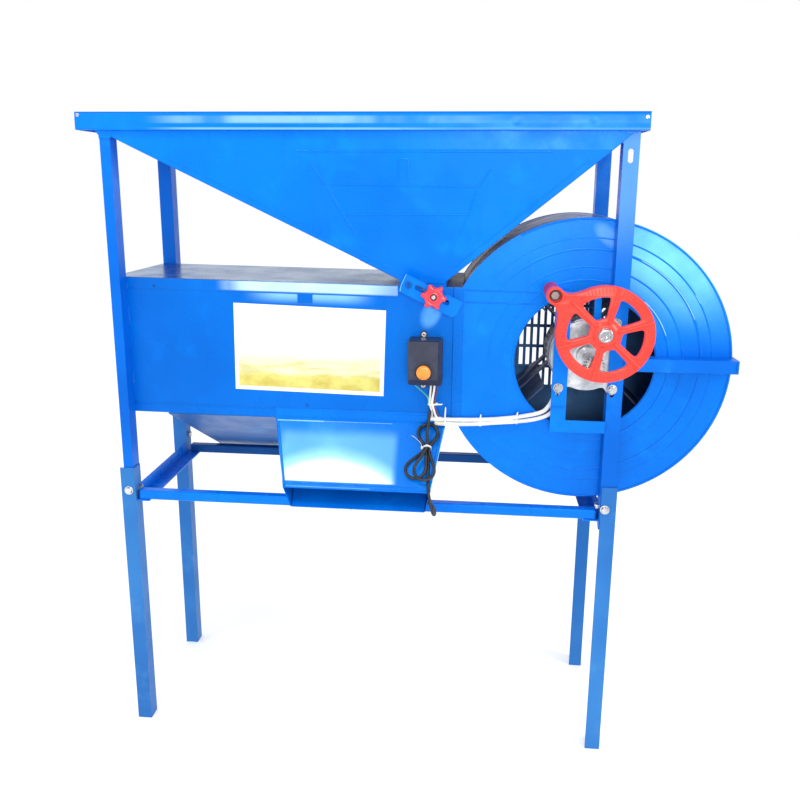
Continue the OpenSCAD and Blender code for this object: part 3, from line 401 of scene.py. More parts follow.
def cover_sheet(name, light, dark, smear, metal=0.85, spec=0.5, edge=(1.0, 1.0, 1.0), zone=None, painted_sheen_streaks=False):
    """Dark galvanised cover: broad soft sheen, spangle and a few smears, with an optional tone zone along one axis and
    optional painted sheen streaks.
    """
    g = G(name, 0.24, metal, spec)
    g.b.inputs["Specular Tint"].default_value = (*edge, 1.0)
    v = g.t.nodes.new("ShaderNodeTexVoronoi")
    v.inputs["Scale"].default_value = 60
    g.put(v.inputs["Vector"], g.co)
    spangle = g.axis(0, v.outputs["Color"])
    c = g.mix(spangle, dark, light)
    c = g.mix(g.ramp(g.noise(5, 2, 0.5), 0.42, 0.75, 0, 0.55), c, smear)
    # zone: a band of another tone along one axis; on the housing's wrap its lighter upper part is painted sheen
    if zone:
        axis, a, b, tone = zone
        c = g.mix(g.math("MULTIPLY", g.ramp(g.axis(axis), a, b), 0.8), c, g.mix(g.ramp(g.noise(40, 3, 0.6, (1, 1, 1)), 0.35, 0.7), tone, smear))
    # painted sheen: pale and dark runs round the housing
    if painted_sheen_streaks:
        run = g.noise(60, 4, 0.6, (0.05, 1, 0.05))
        c = g.mix(g.ramp(run, 0.5, 0.72, 0, 0.34), c, rgb(136, 142, 170))
        c = g.mix(g.ramp(run, 0.46, 0.28, 0, 0.3), c, rgb(40, 56, 96))
    bev = g.bevel(0.0008)
    n = g.bump(g.noise(3, 1, 0.4), 0.0009, bev)
    r = g.ramp(g.noise(12, 4, 0.6), 0.3, 0.75, 0.18, 0.32)
    return g.set(Base_Color=c, Roughness=r, Normal=g.bump(g.noise(300, 2), 0.00002, n))


def film():
    """Printed film: a pale margin round a plain field that goes from cream at the top to straw at the bottom."""
    g = G("label_film", 0.3, 0.0, 0.4, 0.3, 0.05)
    x, z = g.axis(0), g.axis(2)
    # edges of the sheet, which is a little out of square
    left = g.math("SUBTRACT", x, g.math("ADD", g.math("MULTIPLY", z, 0.0111), -0.3581))
    rightd = g.math("SUBTRACT", g.math("ADD", g.math("MULTIPLY", z, 0.0282), -0.0678), x)
    top = g.math("SUBTRACT", g.math("ADD", g.math("MULTIPLY", x, -0.0294), 0.9258), z)
    low = g.math("SUBTRACT", z, g.math("ADD", g.math("MULTIPLY", x, -0.0198), 0.7521))
    d = g.math("MINIMUM", g.math("MINIMUM", left, rightd), g.math("MINIMUM", top, low))
    field = g.ramp(d, 0.0075, 0.0082)
    cream = g.mix(g.ramp(g.noise(5, 3, 0.6), 0.35, 0.7), rgb(228, 232, 226), rgb(224, 228, 212))
    straw = g.mix(g.ramp(g.noise(22, 4, 0.6, (1, 1, 1.6)), 0.35, 0.68), rgb(208, 200, 108), rgb(186, 168, 70))
    mid = g.mix(g.ramp(g.math("ADD", z, g.math("MULTIPLY", g.noise(18, 3, 0.6), 0.02)), 0.797, 0.808), straw, g.mix(g.ramp(g.noise(30, 3, 0.6, (0.4, 1, 2.5)), 0.4, 0.7), rgb(224, 220, 178), rgb(196, 192, 132)))
    tone = g.mix(g.ramp(z, 0.814, 0.846), mid, cream)
    c = g.mix(field, rgb(228, 232, 234), tone)
    # thin rule just inside the margin
    line = g.math("MULTIPLY", g.ramp(d, 0.0052, 0.0056), g.ramp(d, 0.0072, 0.0068))
    c = g.mix(g.math("MULTIPLY", line, 0.55), c, rgb(150, 190, 225))
    c = g.mix(g.ramp(g.noise(60, 4, 0.65), 0.6, 0.8, 0, 0.12), c, rgb(196, 190, 170))
    n = g.bump(g.noise(9, 3, 0.5), 0.0005)
    n = g.bump(g.ramp(g.noise(34, 2), 0.62, 0.7), 0.0002, n)
    return g.set(Base_Color=c, Roughness=g.ramp(g.noise(24, 3), 0.3, 0.7, 0.22, 0.4), Normal=n)


black_mat, film_mat = black_rubber(), film()
cover_mat = cover_sheet("dark_sheet", rgb(126, 142, 170), rgb(112, 130, 160), rgb(84, 104, 140), edge=(0.82, 0.9, 1.0), zone=(0, -0.36, -0.50, rgb(70, 116, 172)))
# housing wrap: matte navy, with painted sheen on its upper part and in streaks
wrap_mat = cover_sheet("navy_sheet_of_the_housing", rgb(84, 108, 156), rgb(79, 103, 151), rgb(68, 92, 140), metal=0.0, spec=0.006, zone=(2, 1.0, 1.11, rgb(104, 116, 152)), painted_sheen_streaks=True)
# near black: painted shade in the knob socket, the motor's vent slots and the screw slots
dark_hole = plastic("near_black_painted_shade_in_recesses", rgb(16, 17, 20), rgb(8, 9, 11), 0.6)
# darker coral: painted shade in the ear recess of the handwheel
recess_red = plastic("coral_darkened_as_painted_shade_in_recess", rgb(120, 20, 30), rgb(84, 12, 20), 0.5)



def dull_bolt():
    """Steel bolt head, darkened and browned as painted shade of the recess it sits in."""
    g = G("steel_bolt_darkened_as_painted_shade", 0.42, 0.9, 0.4)
    c = g.mix(g.ramp(g.noise(40, 4, 0.6), 0.35, 0.7), rgb(104, 92, 94), rgb(150, 136, 134))
    return g.set(Base_Color=c, Roughness=g.ramp(g.noise(160, 3), 0.3, 0.7, 0.34, 0.52), Normal=g.bump(g.noise(260, 3), 0.00004, g.bevel(0.0006)))


bolt_mat = dull_bolt()

LOOK = {
    blue: ["hopper_front_plate", "hopper_rear_plate", "hopper_left_slope", "hopper_right_slope", "duct_rear_panel",
           "gate_bracket", "motor_bar", "motor_cross_plate", "crank_bracket", "front_rail", "left_rail", "right_rail"],
    blue_duct: ["duct_front_panel"],
    blue_housing: ["drum_front_plate"],
    blue_chute: ["main_chute_floor", "main_chute_hood"],
    blue_rear_painted_shade: ["rear_chute_floor", "rear_chute_hood"],
    blue_painted_shade: ["rear_rail"],
    blue_legs: ["front_left_leg_upper", "front_right_leg_upper", "rear_left_leg_upper", "rear_right_leg_upper", "brace_front_bar", "brace_side_bar", "brace_rear_bar"],
    dull: ["front_left_leg_lower", "front_right_leg_lower", "rear_left_leg_lower", "rear_right_leg_lower"],
    cover_mat: ["duct_top_cover"],
    wrap_mat: ["drum_wrap"],
    inside: ["divider_plate", "gate_plate", "drum_rear_plate"],
    zinc: ["leg_bolts", "gate_stud", "motor_bolts", "crank_axle"],
    bolt_mat: ["handle_bolt"],
    screw_mat: ["panel_screws"],
    shiny: ["motor_shaft", "hub_bearing"],
    steel: ["pinion"],
    fan_paint: ["fan_hub", "fan_blades"],
    coral: ["handwheel"],
    grip: ["handle_sleeve"],
    knob_mat: ["star_knob"],
    box_mat: ["switch_box", "switch_cover"],
    button_mat: ["switch_button"],
    film_mat: ["label_sheet"],
    cast: ["motor_body"],
    white_mat: ["motor_lead", "switch_wires"],
    tie_mat: ["cable_ties"],
    black_mat: ["power_cord", "cord_hank", "power_plug"],
}
for mat, names in LOOK.items():
    for n in names:
        o = nodes[n]
        o.data.materials.clear()
        o.data.materials.append(mat)


# ---------------------------------------------------------------- making pieces
def piece(name, verts, faces, mats, body="frame", smooth=False, index=None, replaces=None):
    """A mesh piece from points in the row frame, riding on a body."""
    me = bpy.data.meshes.new(name)
    me.from_pydata([tuple(v) for v in verts], [], faces)
    mats = mats if isinstance(mats, (list, tuple)) else [mats]
    for mt in mats:
        me.materials.append(mt)
    if index:
        for p, i in zip(me.polygons, index):
            p.material_index = i
    bm = bmesh.new()
    bm.from_mesh(me)
    bmesh.ops.remove_doubles(bm, verts=bm.verts, dist=0.000001)
    bmesh.ops.recalc_face_normals(bm, faces=bm.faces)
    bm.to_mesh(me)
    bm.free()
    for p in me.polygons:
        p.use_smooth = smooth
    o = bpy.data.objects.new(name, me)
    scene.collection.objects.link(o)
    if smooth:
        sharp(me)
    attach(o, body)
    if replaces:
        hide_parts(*([replaces] if isinstance(replaces, str) else replaces))
    return o


def sharp(me, angle=38):
    """Marks the edges that stay sharp on a smooth mesh."""
    bm = bmesh.new()
    bm.from_mesh(me)
    for e in bm.edges:
        e.smooth = not (len(e.link_faces) != 2 or e.calc_face_angle(0) > math.radians(angle))
    bm.to_mesh(me)
    bm.free()


def join(parts):
    """Several (verts, faces) as one."""
    V, F = [], []
    for v, f in parts:
        k = len(V)
        V += list(v)
        F += [tuple(i + k for i in q) for q in f]
    return V, F


def swept(pts, section, normal, closed=False):
    """A closed section, given as (across, out) in millimetres, along points on a face with that outward normal."""
    n = Vector(normal).normalized()
    V, F, m, k = [], [], len(pts), len(section)
    pts = [Vector(p) for p in pts]
    for i, p in enumerate(pts):
        a = pts[i - 1] if (i or closed) else None
        b = pts[(i + 1) % m] if (i < m - 1 or closed) else None
        d1 = (p - a).normalized() if a is not None else (b - p).normalized()
        d2 = (b - p).normalized() if b is not None else d1
        s1, s2 = n.cross(d1), n.cross(d2)
        s = (s1 + s2).normalized()
        s = s / max(0.35, s.dot(s1))
        for u, w in section:
            V.append(p + s * (u / 1000) + n * (w / 1000))
    for i in range(m if closed else m - 1):
        for j in range(k):
            F.append((i * k + j, i * k + (j + 1) % k, ((i + 1) % m) * k + (j + 1) % k, ((i + 1) % m) * k + j))
    if not closed:
        F.append(tuple(range(k)))
        F.append(tuple((m - 1) * k + j for j in reversed(range(k))))
    return V, F


def round_ridge(w, h, sink=0.25, n=8):
    """Half-round section of a pressed line."""
    return [(-w / 2 * math.cos(math.pi * i / n), h * math.sin(math.pi * i / n)) for i in range(n + 1)] + [(w / 2, -sink), (-w / 2, -sink)]


def flat_strip(w, h, b=0.4, sink=0.2):
    """Section of a flat strip with softened upper edges."""
    return [(-w / 2, -sink), (-w / 2, h - b), (-w / 2 + b, h), (w / 2 - b, h), (w / 2, h - b), (w / 2, -sink)]


def lathe(profile, centre, seg=64, axis="y"):
    """Rings of (radius, along) in millimetres round an axis through the centre, both ends closed where the radius is 0."""
    V, F, k = [], [], len(profile)
    cx, cy, cz = centre
    for i in range(seg):
        a = 2 * math.pi * i / seg
        for r, h in profile:
            if axis == "y":
                V.append(P(cx + r * math.cos(a), cy + h, cz + r * math.sin(a)))
            elif axis == "z":
                V.append(P(cx + r * math.cos(a), cy + r * math.sin(a), cz + h))
            else:
                V.append(P(cx + h, cy + r * math.cos(a), cz + r * math.sin(a)))
    for i in range(seg):
        j = (i + 1) % seg
        for q in range(k - 1):
            F.append((i * k + q, i * k + q + 1, j * k + q + 1, j * k + q))
    return V, F


def tube(pts, r, seg=12, ends=True, radius=None):
    """Round tube along points in the row frame. r in millimetres, or a function of the share of the way."""
    pts = [Vector(p) for p in pts]
    m = len(pts)
    t = [(pts[min(i + 1, m - 1)] - pts[max(i - 1, 0)]).normalized() for i in range(m)]
    u = t[0].orthogonal().normalized()
    V, F = [], []
    for i in range(m):
        u = (u - t[i] * u.dot(t[i])).normalized()
        v = t[i].cross(u)
        rr = (radius(i / (m - 1)) if radius else r) / 1000
        for k in range(seg):
            a = 2 * math.pi * k / seg
            V.append(pts[i] + u * (rr * math.cos(a)) + v * (rr * math.sin(a)))
    for i in range(m - 1):
        for k in range(seg):
            F.append((i * seg + k, i * seg + (k + 1) % seg, (i + 1) * seg + (k + 1) % seg, (i + 1) * seg + k))
    if ends:
        F.append(tuple(range(seg - 1, -1, -1)))
        F.append(tuple((m - 1) * seg + k for k in range(seg)))
    return V, F


def curve_through(pts, n=8):
    """Catmull-Rom points through the given ones."""
    pts = [Vector(p) for p in pts]
    out = []
    for i in range(len(pts) - 1):
        p0, p1, p2, p3 = pts[max(i - 1, 0)], pts[i], pts[i + 1], pts[min(i + 2, len(pts) - 1)]
        for k in range(n):
            u = k / n
            out.append(0.5 * (2 * p1 + (p2 - p0) * u + (2 * p0 - 5 * p1 + 4 * p2 - p3) * u * u + (3 * p1 - p0 - 3 * p2 + p3) * u ** 3))
    out.append(pts[-1])
    return out


def sheet_shape(name, loops, y0, y1, edge, mat, body="frame", place=None, **k):
    """Plate in the x-z plane from an outline and its holes, with rounded edges, from y0 to y1 in millimetres."""
    cu = bpy.data.curves.new(name, "CURVE")
    cu.dimensions = "2D"
    cu.fill_mode = "BOTH"
    cu.extrude = ((y1 - y0) / 2 - edge) / 1000
    cu.bevel_depth = edge / 1000
    cu.bevel_resolution = 2
    cu.offset = -edge / 1000
    for loop in loops:
        sp = cu.splines.new("POLY")
        sp.points.add(len(loop) - 1)
        for q, (x, z) in zip(sp.points, loop):
            q.co = (x / 1000, z / 1000, 0, 1)
        sp.use_cyclic_u = True
    tmp = bpy.data.objects.new(name + "_outline", cu)
    scene.collection.objects.link(tmp)
    bpy.context.view_layer.update()
    me = bpy.data.meshes.new_from_object(tmp.evaluated_get(bpy.context.evaluated_depsgraph_get()))
    bpy.data.objects.remove(tmp)
    bpy.data.curves.remove(cu)
    ym = (y0 + y1) / 2
    bm = bmesh.new()
    bm.from_mesh(me)
    bmesh.ops.remove_doubles(bm, verts=bm.verts, dist=0.000002)
    for v in bm.verts:
        x, z, c = v.co
        if place:
            v.co = place(x * 1000, ym - c * 1000, z * 1000)
        else:
            v.co = P(x * 1000, ym - c * 1000, z * 1000)
    bmesh.ops.recalc_face_normals(bm, faces=bm.faces)
    bm.to_mesh(me)
    bm.free()
    me.name = name
    me.materials.clear()
    me.materials.append(mat)
    for p in me.polygons:
        p.use_smooth = True
    sharp(me, 40)
    o = bpy.data.objects.new(name, me)
    scene.collection.objects.link(o)
    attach(o, body)
    if k.get("replaces"):
        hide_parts(k["replaces"])
    return o


# ---------------------------------------------------------------- the cord, from the sleeve under the switch to its plug
CORD = [
    (50.0, 16.0, 767.0), (50.1, 16.1, 760.5), (50.0, 16.0, 754.0), (49.8, 15.9, 747.5), (49.4, 15.5, 741.0), (48.9, 14.8, 734.5), (48.1, 13.5, 728.2), (47.4, 11.9, 721.9),
    (46.6, 9.9, 715.8), (45.9, 7.6, 709.7), (45.2, 5.0, 703.8), (44.7, 1.2, 698.5), (44.4, -2.7, 693.3), (44.5, -6.7, 688.2), (45.0, -10.6, 683.0), (45.6, -14.5, 677.9),
    (45.5, -18.5, 672.7), (44.7, -22.6, 667.7), (42.4, -26.7, 663.3), (39.3, -30.6, 659.0), (36.2, -34.4, 654.7), (33.0, -38.2, 650.5), (29.9, -42.0, 646.3), (26.7, -45.8, 642.0),
    (24.0, -49.8, 637.6), (22.5, -54.0, 633.0), (22.9, -58.4, 628.2), (25.4, -62.5, 623.8), (29.6, -65.8, 620.2), (35.2, -67.8, 617.7), (41.6, -68.4, 616.6), (48.0, -67.6, 617.1),
    (53.7, -65.3, 619.0), (58.2, -61.8, 622.1), (60.9, -57.5, 626.1), (61.7, -52.8, 630.5), (60.7, -48.1, 634.9), (58.7, -43.6, 639.2), (56.6, -39.2, 643.4), (54.4, -34.8, 647.7),
    (52.3, -30.4, 652.0), (50.4, -25.9, 656.3), (48.9, -21.3, 660.7), (48.8, -16.7, 665.3), (51.1, -12.5, 669.5), (54.8, -8.7, 673.3), (58.9, -5.1, 676.9), (62.4, -1.3, 680.8),
    (64.2, 3.1, 685.2), (64.0, 7.6, 689.8), (61.6, 11.9, 694.1), (57.4, 15.3, 697.6), (51.8, 17.6, 699.9), (45.4, 18.5, 700.7), (39.0, 17.8, 700.0), (33.3, 15.7, 697.9),
    (28.8, 12.4, 694.6), (26.3, 8.2, 690.3), (25.8, 3.6, 685.8), (27.3, -0.8, 681.3), (30.4, -4.8, 677.3), (34.2, -8.5, 673.5), (38.0, -12.3, 669.8), (41.1, -16.3, 665.7),
    (42.3, -20.7, 661.1), (43.2, -25.2, 656.4), (43.8, -29.7, 651.8), (44.3, -34.2, 647.1), (44.5, -38.7, 642.4), (44.7, -43.1, 637.7), (44.6, -47.6, 632.9), (43.6, -51.8, 628.1),
    (40.9, -55.7, 623.6), (36.6, -58.7, 619.9), (30.9, -60.5, 617.3), (24.5, -61.0, 616.3), (18.2, -60.0, 616.7), (12.5, -57.5, 618.7), (8.2, -53.9, 621.8), (5.6, -49.4, 625.7),
    (5.1, -44.6, 630.0), (6.8, -39.9, 634.2), (10.1, -35.8, 637.9), (14.5, -32.3, 641.2), (19.3, -29.1, 644.3), (24.2, -26.0, 647.3), (29.0, -22.9, 650.3), (33.7, -19.7, 653.5),
    (37.5, -16.0, 657.2), (38.9, -11.5, 661.7), (37.9, -7.0, 666.2), (34.8, -3.0, 670.3), (31.1, 0.7, 674.1), (27.9, 4.8, 678.1), (26.3, 9.2, 682.6), (26.5, 13.7, 687.2),
    (28.9, 18.0, 691.4), (33.0, 21.5, 695.0), (38.7, 23.7, 697.3), (45.0, 24.6, 698.1), (51.4, 24.0, 697.5), (57.2, 21.9, 695.4), (61.6, 18.6, 692.0), (64.3, 14.4, 687.8),
    (64.9, 9.9, 683.3), (63.4, 5.4, 678.8), (60.5, 1.3, 674.7), (56.9, -2.5, 670.8), (53.3, -6.3, 666.9), (50.0, -10.3, 663.0), (48.3, -14.7, 658.6), (47.9, -19.2, 654.0),
    (48.0, -23.9, 649.4), (48.4, -28.5, 644.8), (48.8, -33.1, 640.2), (49.2, -37.8, 635.7), (49.4, -42.5, 631.2), (49.6, -47.1, 626.7), (49.7, -51.8, 622.1), (49.9, -56.4, 617.5),
    (50.2, -61.0, 612.9), (50.5, -65.5, 608.2), (50.9, -69.9, 603.4), (51.5, -74.4, 598.8), (52.4, -79.3, 594.6), (53.6, -83.8, 590.0), (55.2, -87.5, 584.9), (56.7, -90.0, 579.1),
    (58.1, -91.2, 572.9), (59.5, -90.4, 566.6), (60.7, -88.0, 560.7), (61.9, -84.4, 555.4), (63.0, -79.4, 551.5), (63.8, -73.5, 548.8), (64.2, -67.2, 547.1), (64.3, -60.8, 546.2),
    (64.1, -54.3, 545.6), (63.6, -47.8, 545.1), (62.9, -41.4, 544.9), (61.7, -35.0, 544.6), (60.0, -28.7, 544.3), (57.9, -22.5, 544.0), (55.3, -16.6, 543.8), (52.0, -11.0, 543.5),
    (47.9, -5.9, 543.3), (43.3, -1.3, 543.1), (38.1, 2.6, 543.0), (32.5, 5.8, 543.0), (26.4, 8.3, 543.0), (20.1, 9.9, 543.0), (13.7, 11.0, 543.0), (7.2, 11.6, 543.0),
    (0.7, 11.9, 543.0), (-5.8, 12.0, 543.0), (-12.3, 12.0, 543.0), (-18.8, 12.0, 543.0), (-25.3, 12.1, 543.0), (-31.8, 12.1, 542.9), (-38.3, 12.0, 542.9), (-44.9, 12.0, 542.9),
    (-51.4, 12.0, 543.2), (-57.8, 12.0, 543.8), (-64.3, 12.0, 544.9), (-70.6, 12.0, 546.3), (-77.0, 12.0, 547.6), (-83.5, 12.0, 548.0), (-90.0, 12.0, 548.0)
]
cord_line = curve_through([P(*q) for q in CORD], 5)


def curve_piece(name, line, radius, mat, body="frame", replaces=None, resolution=4):
    cu = bpy.data.curves.new(name, "CURVE")
    cu.dimensions = "3D"
    cu.bevel_depth = radius
    cu.bevel_resolution = resolution
    cu.use_fill_caps = True
    sp = cu.splines.new("POLY")
    sp.points.add(len(line) - 1)
    for q, p in zip(sp.points, line):
        q.co = (*p, 1)
    sp.use_smooth = True
    cu.materials.append(mat)
    o = bpy.data.objects.new(name, cu)
    scene.collection.objects.link(o)
    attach(o, body)
    if replaces:
        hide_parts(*replaces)
    return o


cord = curve_piece("power_cord_line", cord_line, 0.003, black_mat, replaces=["power_cord", "cord_hank"])


def moulded_plug():
    """Flat two-blade plug on the rail: waisted body with finger ribs, and a ribbed boot where the cord goes in."""
    k = 28
    V, F, rings = [], [], []
    # along x: (x, half height, half width, squareness)
    for x, hz, hy, sq in [(-136, 6.2, 8.4, 3.6), (-135.4, 7.4, 9.5, 4), (-133, 8, 10, 4), (-125, 8, 10, 4), (-120, 7.4, 9.0, 3.6), (-114, 6.9, 8.2, 3.2), (-112.4, 6.9, 8.2, 3.2),
                          (-107.6, 6.9, 8.2, 3.2), (-106, 7.2, 8.4, 3.2), (-101, 7.6, 8.8, 3), (-97, 6.8, 7.2, 2.6), (-95.6, 5.6, 5.8, 2.2)]:
        ring = []
        for i in range(k):
            a = 2 * math.pi * i / k
            c, s = math.cos(a), math.sin(a)
            rr = (abs(c) ** sq + abs(s) ** sq) ** (-1 / sq)
            ring.append(len(V))
            V.append(P(x, 12 + hy * c * rr, 548 + hz * s * rr))
        rings.append(ring)
    for a, b in zip(rings, rings[1:]):
        for i in range(k):
            F.append((a[i], a[(i + 1) % k], b[(i + 1) % k], b[i]))
    F.append(tuple(reversed(rings[0])))
    F.append(tuple(rings[-1]))
    parts = [(V, F)]
    # ribbed boot
    prof = [(0, -96)]
    x = -96
    for i in range(5):
        r = 5.4 - 0.42 * i
        prof += [(r, x), (r, x + 1.9), (r - 0.9, x + 2.1), (r - 0.9, x + 2.9)]
        x += 3.0
    prof += [(3.05, x), (3.0, x + 0.2), (0, x + 0.2)]
    parts.append(lathe(prof, (0, 12, 548), 32, "x"))
    # finger ribs on both broad faces
    for z, s in ((555.9, 1), (540.1, -1)):
        for x in (-131, -128.4, -125.8):
            parts.append(swept([P(x, 7, z), P(x, 17, z)], round_ridge(1.3, 0.6, 0.6), (0, 0, s)))
    return join(parts)


plug = piece("moulded_plug", *moulded_plug(), black_mat, smooth=True, replaces="power_plug")


def blades():
    out = []
    for y in (7, 17):
        sec = [(-3, 547.3), (-3, 548.7), (3, 548.7), (3, 547.3)]
        V = [P(x, y + (a if x > -153 else a * 0.6), z) for x in (-135.8, -152.4, -154) for a, z in sec]
        F = [(i * 4 + j, i * 4 + (j + 1) % 4, i * 4 + 4 + (j + 1) % 4, i * 4 + 4 + j) for i in range(2) for j in range(4)] + [(0, 1, 2, 3), (11, 10, 9, 8)]
        out.append((V, F))
    return join(out)


plug_blades = piece("plug_blades", *blades(), shiny)

# strain relief: ribbed sleeve that narrows towards the cord
prof = [(3.02, -28), (3.6, -28)]
z = -28
for i in range(9):
    r = 3.9 + 0.2 * i
    prof += [(r, z + 0.3), (r, z + 1.9), (r - 0.65, z + 2.1), (r - 0.65, z + 3.0)]
    z += 3.0
prof += [(5.7, -1.0), (6.4, -0.6), (6.4, 0.0)]
piece("cord_sleeve", *lathe(prof, (50, 16, 787), 40, "z"), black_mat, smooth=True)


# ---------------------------------------------------------------- hand crank
CX, CZ = 359.0, 853 + math.sqrt(62 ** 2 - 14 ** 2)
HX, HZ = CX + 111.8 * COS(143), CZ + 111.8 * SIN(143)


def ring_pts(cx, cz, r, n=64):
    return [(cx + r * math.cos(2 * math.pi * i / n), cz + r * math.sin(2 * math.pi * i / n)) for i in range(n)]


def smin(a, b, k):
    h = max(k - abs(a - b), 0) / k
    return min(a, b) - h * h * k / 4


def capsule(px, pz, ax, az, bx, bz, r):
    vx, vz = bx - ax, bz - az
    t = max(0, min(1, ((px - ax) * vx + (pz - az) * vz) / (vx * vx + vz * vz)))
    return math.hypot(px - ax - vx * t, pz - az - vz * t) - r


def outline(cx, cz, sdf, far, n=360, near=5):
    """Outline of a shape that is seen whole from its centre."""
    out = []
    for i in range(n):
        a = 2 * math.pi * i / n
        c, s = math.cos(a), math.sin(a)
        r = far
        while r > near and sdf(cx + r * c, cz + r * s) > 0:
            r -= 0.5
        lo, hi = r, r + 0.5
        for _ in range(12):
            mid = (lo + hi) / 2
            if sdf(cx + mid * c, cz + mid * s) > 0:
                hi = mid
            else:
                lo = mid
        out.append((cx + lo * c, cz + lo * s))
    return out


def wheel_sdf(x, z):
    d = math.hypot(x - CX, z - CZ) - 86
    ear = smin(capsule(x, z, CX + 84 * COS(143), CZ + 84 * SIN(143), HX, HZ, 12.5), math.hypot(x - HX, z - HZ) - 15.2, 3)
    return smin(d, ear, 30)


def filleted(corners, f, n=8):
    """Closed outline from edges that are lists of points, with its corners rounded over the length f."""
    out = []
    for e in corners:
        pts = [Vector(q) for q in e]
        L = [0]
        for a, b in zip(pts, pts[1:]):
            L.append(L[-1] + (b - a).length)

        def at(s):
            for i in range(len(pts) - 1):
                if s <= L[i + 1] or i == len(pts) - 2:
                    return pts[i].lerp(pts[i + 1], (s - L[i]) / (L[i + 1] - L[i]))
        m = max(2, int((L[-1] - 2 * f) / 3))
        out.append([at(f + (L[-1] - 2 * f) * i / m) for i in range(m + 1)] + [pts[-1]])
    res = []
    for i, e in enumerate(out):
        nxt = out[(i + 1) % len(out)]
        res += e[:-1]
        a, c, b = e[-2], e[-1], nxt[0]
        for k in range(1, n):
            t = k / n
            res.append(a * (1 - t) ** 2 + c * 2 * t * (1 - t) + b * t * t)
    return [(p.x, p.y) for p in res]


def window(a0):
    """Opening between the ribs at the angles a0 and a0 + 60."""
    def at(r, side, w):
        # point at the radius r, w millimetres from the rib on that side
        base = a0 if side < 0 else a0 + 60
        a = math.radians(base) - side * math.asin(w / r)
        return (CX + r * math.cos(a), CZ + r * math.sin(a))

    def angle(p):
        return math.atan2(p[1] - CZ, p[0] - CX)
    i0, i1, o0, o1 = at(29, -1, 6.2), at(29, 1, 6.2), at(67, -1, 8.5), at(67, 1, 8.5)

    def arc(r, p, q, n=18):
        a, b = angle(p), angle(q)
        d = (b - a + math.pi) % (2 * math.pi) - math.pi
        return [(CX + r * math.cos(a + d * k / n), CZ + r * math.sin(a + d * k / n)) for k in range(n + 1)]
    return filleted([[i0, o0], arc(67, o0, o1), [o1, i1], arc(29, i1, i0)], 6.2)


wheel_outer = outline(CX, CZ, wheel_sdf, 128, 540)
sheet_shape("handwheel_web", [wheel_outer, ring_pts(CX, CZ, 13.05), ring_pts(HX, HZ, 11.6, 48)] + [window(17 + 60 * k) for k in range(6)],
            -105.4, -96.9, 1.7, coral, "crank", replaces="handwheel")


def half_tooth(n, w, r, mod=2.0):
    p = mod * n / 2
    b = p * COS(20)
    inv = lambda a: math.tan(a) - a
    return w / (2 * p) + inv(math.radians(20)) - (inv(math.acos(b / r)) if r > b else 0)


def teeth(cx, cz, n, w, rs, a0):
    pts = []
    for i in range(n):
        a = a0 + 2 * math.pi * i / n
        for r, s in [(r, -1) for r in rs] + [(r, 1) for r in reversed(rs)]:
            t = a + s * half_tooth(n, w, r)
            pts.append((cx + r * math.cos(t), cz + r * math.sin(t)))
    return pts


mesh_angle = math.atan2(853 - CZ, 345 - CX)
sheet_shape("handwheel_ring_gear", [wheel_outer, teeth(CX, CZ, 80, math.pi * 2 - 2.84, [78.2, 79.2, 80, 81.2, 82.4], mesh_angle), ring_pts(HX, HZ, 10, 48)], -97.0, -84.1, 0.4, coral, "crank")
# hub boss, boss of the ear and the ribs
loop = lambda prof: prof + [prof[0]]
piece("handwheel_hub", *lathe(loop([(13.05, -96), (13.05, -108.4), (13.8, -109.2), (17.0, -109.3), (18.8, -108.6), (20.0, -107.0), (23.5, -105.3), (24.5, -104), (24.5, -98), (19, -96.5), (19, -88), (8.4, -88), (8.4, -96)]), (CX, 0, CZ), 96), coral, "crank", True)
piece("handwheel_ear_boss", *lathe(loop([(11.55, -93.8), (11.55, -107.0), (12.2, -107.9), (13.4, -108.2), (14.8, -107.8), (15.5, -106.6), (15.9, -104.8), (15.2, -100), (15.2, -85.6), (14.6, -85), (5.05, -85), (5.05, -93.8)]), (HX, 0, HZ), 64), coral, "crank", True)
# recess in darker coral: painted shade
piece("handwheel_ear_recess", *lathe([(5.1, -94.05), (11.5, -94.05), (11.5, -104.5)], (HX, 0, HZ), 48), recess_red, "crank", True)
ribs = []
for k in range(6):
    a = 17 + 60 * k
    n = 14
    pts = [P(CX + r * COS(a), -105.2, CZ + r * SIN(a)) for r in [22 + (84.5 - 22) * i / n for i in range(n + 1)]]
    ribs.append(swept(pts, [(-3.2, -0.6), (-3.0, 0.3), (-2.3, 1.5), (-1.2, 2.3), (0, 2.55), (1.2, 2.3), (2.3, 1.5), (3.0, 0.3), (3.2, -0.6)], (0, -1, 0)))
piece("handwheel_ribs", *join(ribs), coral, "crank", True)
# fine radial marks of the casting on the flat of the rim
ticks = []
for k in range(80):
    a = 4.5 * k + 2.2
    if abs((a - 17 + 30) % 60 - 30) < 3.5 or abs(a - 143) < 14:
        continue
    pts = [P(CX + r * COS(a), -105.3, CZ + r * SIN(a)) for r in (72.5, 73.5, 82, 83.5)]
    ticks.append(swept(pts, [(-1.0, -0.3), (-0.7, 0.28), (0.7, 0.28), (1.0, -0.3)], (0, -1, 0)))
piece("handwheel_casting_marks", *join(ticks), coral, "crank", True)
